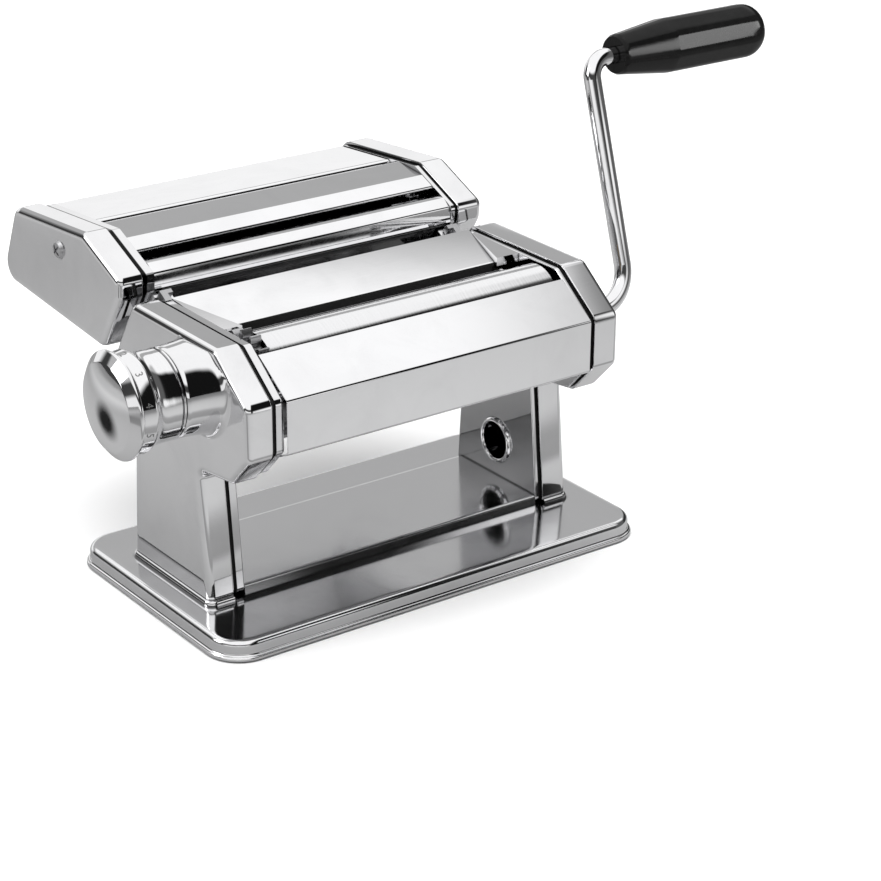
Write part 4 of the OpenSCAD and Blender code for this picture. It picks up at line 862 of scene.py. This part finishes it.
# Cutter sheets
# Three folded sheets close the top of the cutter and leave two slots for the sheet of dough.
# They are polished chrome like the head's panels, with their edges turned down into the slots.
strips = {
    "cutter_back_panel": [(88.0, 136.4), (87.4, 141.8), (128.0, 138.65), (138.2, 113.5), (138.0, 107.0)],
    "cutter_middle_bar": [(81.6, 137.6), (82.2, 142.8), (62.6, 141.0), (54.6, 137.6), (55.6, 132.6)],
    "cutter_front_bar": [(49.4, 131.2), (49.8, 134.8), (46.0, 134.4), (41.6, 131.3), (40.6, 124.6)],
}
strip_bend = {"cutter_back_panel": 2.6, "cutter_middle_bar": 1.3, "cutter_front_bar": 1.3}
dull_inside = chromed_sheet("dull_inside", (0.8, 0.8, 0.81), (0.72, 0.72, 0.73), 0.42, 0.55, shade_amount=0.2)
dull_inside.node_tree.nodes["Principled BSDF"].inputs["Metallic"].default_value = 0.1
for node, path in strips.items():
    strip_mesh = bmesh.new()
    at_back_of_cutter = node == "cutter_back_panel"
    thick = -panel_sheet if at_back_of_cutter else panel_sheet
    folded_strip(strip_mesh, path, strip_bend[node], thick, inner_half)
    if at_back_of_cutter:
        strip_mesh.faces.ensure_lookup_table()
        for face in strip_mesh.faces[len(strip_mesh.faces) // 2:-2]:
            face.material_index = 1
    make_piece("folded_" + node, strip_mesh, "cutter", [node], panel_chrome, crease=40,
               second=dull_inside)
apron_half = 73.7
apron_section = [(40.3, 123.9), (49.0, 109.7), (50.0, 110.3), (41.3, 124.5)]
# Painted shade: the apron is given a near-black colour and deep seam shade, for the dark gap between cutter
# and hopper.
apron_painted_shade = chromed_sheet("apron_painted_shade", (0.1, 0.1, 0.1), (0.07, 0.07, 0.07), 0.06, 0.12,
                             shade_amount=1.0, reach=0.02)
apron_mesh = bmesh.new()
prism_along_x(apron_mesh, apron_section, -apron_half, apron_half)
make_piece("front_bar_apron", apron_mesh, "cutter", [], apron_painted_shade)

# Cutting rollers and combs
# Ridged steel rollers cut the dough into broad or thin noodles, each ridge in the other's groove.
# Combs below them strip the noodles off, and small gears at the left turn each pair together.
# Deep painted shade: the cutting rollers' colour goes near black where other pieces stand within 12 mm, so
# the slots read dark.
cutting_steel = turned_chrome("cutting_steel", (0.6, 0.6, 0.61), (0.45, 0.45, 0.46), 700.0, 0.00002,
                              (0.14, 0.26), reach=0.012, shade_amount=1.0)
for width in ("broad", "thin"):
    dress(machined_steel, width + "_combs")
    for place in ("lead", "follow"):
        dress(cutting_steel, "%s_%s_roller" % (width, place))
        dress(machined_steel, "%s_%s_gear" % (width, place))

# In the chrome the floor shows a painted reflection, an uneven grey, darker just in front of the machine and
# further out.
# Floor, light and camera
# The machine stands on a plain pale floor in a white studio with a black flag to the front right, a dark
# right side, a grey strip low at the back and a dim horizon, and small cards put spots in the chrome.
# A strip lamp lights only the grip, and the camera stands where the photograph was taken from.
floor_mesh = bmesh.new()
bmesh.ops.create_grid(floor_mesh, x_segments=1, y_segments=1, size=6.0)
floor_data = bpy.data.meshes.new("studio_floor")
floor_mesh.to_mesh(floor_data)
floor_mesh.free()
floor = bpy.data.objects.new("studio_floor", floor_data)
bpy.context.collection.objects.link(floor)
pale = bpy.data.materials.new("pale_floor")
pale.use_nodes = True
tree = pale.node_tree
shader = tree.nodes["Principled BSDF"]
shader.inputs["Roughness"].default_value = 0.9


def smooth_step(tree, value, low, high, start, end):
    """A value that goes smoothly from start to end between two limits."""
    step = add_node(tree, "ShaderNodeMapRange",
                    {"From Min": low, "From Max": high, "To Min": start, "To Max": end},
                    interpolation_type="SMOOTHSTEP")
    tree.links.new(value, step.inputs["Value"])
    return step.outputs["Result"]


def along(tree, vector, way):
    """How far a vector goes in one direction."""
    product = add_node(tree, "ShaderNodeVectorMath", {1: way}, operation="DOT_PRODUCT")
    tree.links.new(vector, product.inputs[0])
    return product.outputs["Value"]


def distance_from(tree, vector, place):
    """The distance between a vector and a fixed place."""
    gap = add_node(tree, "ShaderNodeVectorMath", {1: place}, operation="DISTANCE")
    tree.links.new(vector, gap.inputs[0])
    return gap.outputs["Value"]


def product_of(tree, first, second):
    times = add_node(tree, "ShaderNodeMath", operation="MULTIPLY")
    tree.links.new(first, times.inputs[0])
    tree.links.new(second, times.inputs[1])
    return times.outputs["Value"]


# Painted reflection: glossy rays see the floor as a grey painted by place, lighter to the front right and
# much lighter far to the left, darker in a band just in front of the machine and further out; other rays see
# plain white.
floor_place = add_node(tree, "ShaderNodeTexCoord").outputs["Object"]
painted_floor_reflection = smooth_step(tree, along(tree, floor_place, (0.67, -0.74, 0.0)), -0.15, 0.12, 0.3, 0.41)
floor_fade = smooth_step(tree, distance_from(tree, floor_place, (0.0, 0.0, 0.0)), 0.2, 0.9, 1.0, 0.5)
far_left = smooth_step(tree, along(tree, floor_place, (-0.88, 0.48, 0.0)), 0.4, 0.7, 1.0, 2.2)
to_front = along(tree, floor_place, (0.0, -1.0, 0.0))
near_front = product_of(tree, smooth_step(tree, to_front, 0.1, 0.125, 0.0, 1.0),
                        smooth_step(tree, to_front, 0.14, 0.22, 1.0, 0.0))
for share in (floor_fade, far_left, smooth_step(tree, near_front, 0.0, 1.0, 1.0, 0.55)):
    painted_floor_reflection = product_of(tree, painted_floor_reflection, share)
light_path = add_node(tree, "ShaderNodeLightPath")
seen = add_node(tree, "ShaderNodeMix", data_type="RGBA")
seen.inputs[6].default_value = (0.94, 0.94, 0.94, 1.0)
tree.links.new(painted_floor_reflection, seen.inputs[7])
tree.links.new(light_path.outputs["Is Glossy Ray"], seen.inputs["Factor"])
tree.links.new(seen.outputs[2], shader.inputs["Base Color"])
floor_data.materials.append(pale)

camera_place = Vector((-576.9, -837.3, 491.1)) * MM
camera_azimuth, camera_elevation, camera_roll = (math.radians(a) for a in (-36.48, 23.41, 0.48))
camera_view = math.radians(19.585)
back = Vector((math.sin(camera_azimuth) * math.cos(camera_elevation),
               -math.cos(camera_azimuth) * math.cos(camera_elevation), math.sin(camera_elevation)))
level = Vector((math.cos(camera_azimuth), math.sin(camera_azimuth), 0.0))
rise = back.cross(level)
right = level * math.cos(camera_roll) + rise * math.sin(camera_roll)
up = rise * math.cos(camera_roll) - level * math.sin(camera_roll)
camera_data = bpy.data.cameras.new("camera")
camera_data.angle = camera_view
camera_data.clip_start = 0.05
camera = bpy.data.objects.new("camera", camera_data)
camera.matrix_world = Matrix.Translation(camera_place) @ Matrix((right, up, back)).transposed().to_4x4()
bpy.context.collection.objects.link(camera)
bpy.context.scene.camera = camera

studio = bpy.data.worlds.new("studio")
bpy.context.scene.world = studio
studio.use_nodes = True
tree = studio.node_tree
background = tree.nodes["Background"]
direction = add_node(tree, "ShaderNodeTexCoord").outputs["Generated"]
height = add_node(tree, "ShaderNodeSeparateXYZ")
tree.links.new(direction, height.inputs["Vector"])
elevation = height.outputs["Z"]


def blend(tree, factor, first, second):
    """A mix of two tones; the second may be a plain number."""
    mix = add_node(tree, "ShaderNodeMix", data_type="FLOAT")
    tree.links.new(factor, mix.inputs[0])
    tree.links.new(first, mix.inputs[2])
    if isinstance(second, float):
        mix.inputs[3].default_value = second
    else:
        tree.links.new(second, mix.inputs[3])
    return mix.outputs[0]


ceiling_tone = 1.15
flag_tone, side_tone, right_tone = 0.008, 0.2, 0.03
dim_horizon = blend(tree, smooth_step(tree, elevation, 0.5, 0.58, 0.0, 1.0),
                    smooth_step(tree, elevation, 0.39, 0.44, 0.05, 0.55), ceiling_tone)
back_wall = smooth_step(tree, elevation, 0.285, 0.32, 1.05, 0.47)
back_wall = blend(tree, smooth_step(tree, elevation, 0.478, 0.52, 0.0, 1.0), back_wall, ceiling_tone)
at_back = smooth_step(tree, along(tree, direction, (0.594, 0.804, 0.0)), 0.45, 0.65, 0.0, 1.0)
room = blend(tree, at_back, dim_horizon, back_wall)
front_card = blend(tree, smooth_step(tree, elevation, 0.40, 0.56, 0.0, 1.0),
                   smooth_step(tree, elevation, 0.14, 0.24, 1.0, 0.06), ceiling_tone)
at_front = smooth_step(tree, along(tree, direction, (-0.55, -0.835, 0.0)), 0.5, 0.7, 0.0, 1.0)
room = blend(tree, at_front, room, front_card)
at_flag = smooth_step(tree, along(tree, direction, (0.79, -0.61, 0.0)), 0.5, 0.62, 0.0, 1.0)
room = blend(tree, at_flag, room, flag_tone)
sideways = smooth_step(tree, along(tree, direction, (1.0, 0.0, 0.0)), 0.55, 0.63, 0.0, 0.6)
not_back = smooth_step(tree, along(tree, direction, (0.0, 1.0, 0.0)), 0.15, 0.35, 1.0, 0.0)
room = blend(tree, product_of(tree, sideways, not_back), room, side_tone)
at_right = smooth_step(tree, along(tree, direction, (0.95, 0.31, 0.0)), 0.84, 0.92, 0.0, 1.0)
room = blend(tree, at_right, room, right_tone)
tree.links.new(room, background.inputs["Color"])
background.inputs["Strength"].default_value = 0.95


def soft_box(name, place, target, size, power):
    """A large square lamp that points at a target."""
    lamp = bpy.data.lights.new(name, "AREA")
    lamp.shape = "RECTANGLE"
    lamp.size, lamp.size_y = size
    lamp.energy = power
    box = bpy.data.objects.new(name, lamp)
    box.location = place
    box.rotation_euler = (Vector(target) - Vector(place)).to_track_quat("-Z", "Y").to_euler()
    bpy.context.collection.objects.link(box)
    return box


overhead_box = soft_box("overhead_box", (0.1, 0.1, 1.5), (0.0, 0.0, 0.1), (1.8, 1.4), 26.0)
overhead_box.visible_glossy = False
soft_box("left_box", (-1.3, 0.5, 0.9), (0.0, 0.0, 0.1), (0.8, 1.0), 6.0)
grip_strip = soft_box("grip_strip", (0.35, -0.2, 0.262), (0.2, 0.02, 0.197), (0.36, 0.055), 0.75)
grip_strip.visible_camera = False
grip_only = bpy.data.collections.new("lit_by_grip_strip")
grip_only.objects.link(moulded_grip)
grip_strip.light_linking.receiver_collection = grip_only


def studio_card(name, place, facing, radius, tone):
    """A small soft-edged card that shows only in the chrome, from the side it faces; white ones glow."""
    card_mesh = bmesh.new()
    bmesh.ops.create_circle(card_mesh, cap_ends=True, segments=48, radius=radius * MM)
    card_data = bpy.data.meshes.new(name)
    card_mesh.to_mesh(card_data)
    card_mesh.free()
    card = bpy.data.objects.new(name, card_data)
    card.location = Vector(place) * MM
    card.rotation_euler = Vector(facing).to_track_quat("Z", "Y").to_euler()
    bpy.context.collection.objects.link(card)
    card.visible_camera = False
    card.visible_diffuse = False
    card.visible_shadow = False
    cloth = bpy.data.materials.new(name + "_cloth")
    cloth.use_nodes = True
    cloth_tree = cloth.node_tree
    cloth_shader = cloth_tree.nodes["Principled BSDF"]
    cloth_shader.inputs["Base Color"].default_value = (0.01, 0.01, 0.01, 1.0)
    cloth_shader.inputs["Roughness"].default_value = 1.0
    cloth_shader.inputs["Emission Color"].default_value = (1.0, 1.0, 1.0, 1.0)
    cloth_shader.inputs["Emission Strength"].default_value = tone
    cloth_place = add_node(cloth_tree, "ShaderNodeTexCoord").outputs["Object"]
    from_middle = distance_from(cloth_tree, cloth_place, (0.0, 0.0, 0.0))
    cloth_edge = smooth_step(cloth_tree, from_middle, radius * 0.3 * MM, radius * MM, 1.0, 0.0)
    cloth_back = add_node(cloth_tree, "ShaderNodeNewGeometry").outputs["Backfacing"]
    cloth_front = smooth_step(cloth_tree, cloth_back, 0.0, 1.0, 1.0, 0.0)
    cloth_tree.links.new(product_of(cloth_tree, cloth_edge, cloth_front), cloth_shader.inputs["Alpha"])
    card_data.materials.append(cloth)


studio_card("knob_flag", (-172.6, 13.4, 78.0), (0.526, -0.726, 0.442), 22.0, 0.0)
studio_card("foot_card", (44.0, -250.0, 106.0), (-0.46, 0.82, -0.35), 58.0, 1.0)
studio_card("crank_card", (205.0, -140.0, 176.0), (-0.36, 0.9, -0.2), 75.0, 1.0)
bpy.context.scene.view_settings.view_transform = "Standard"
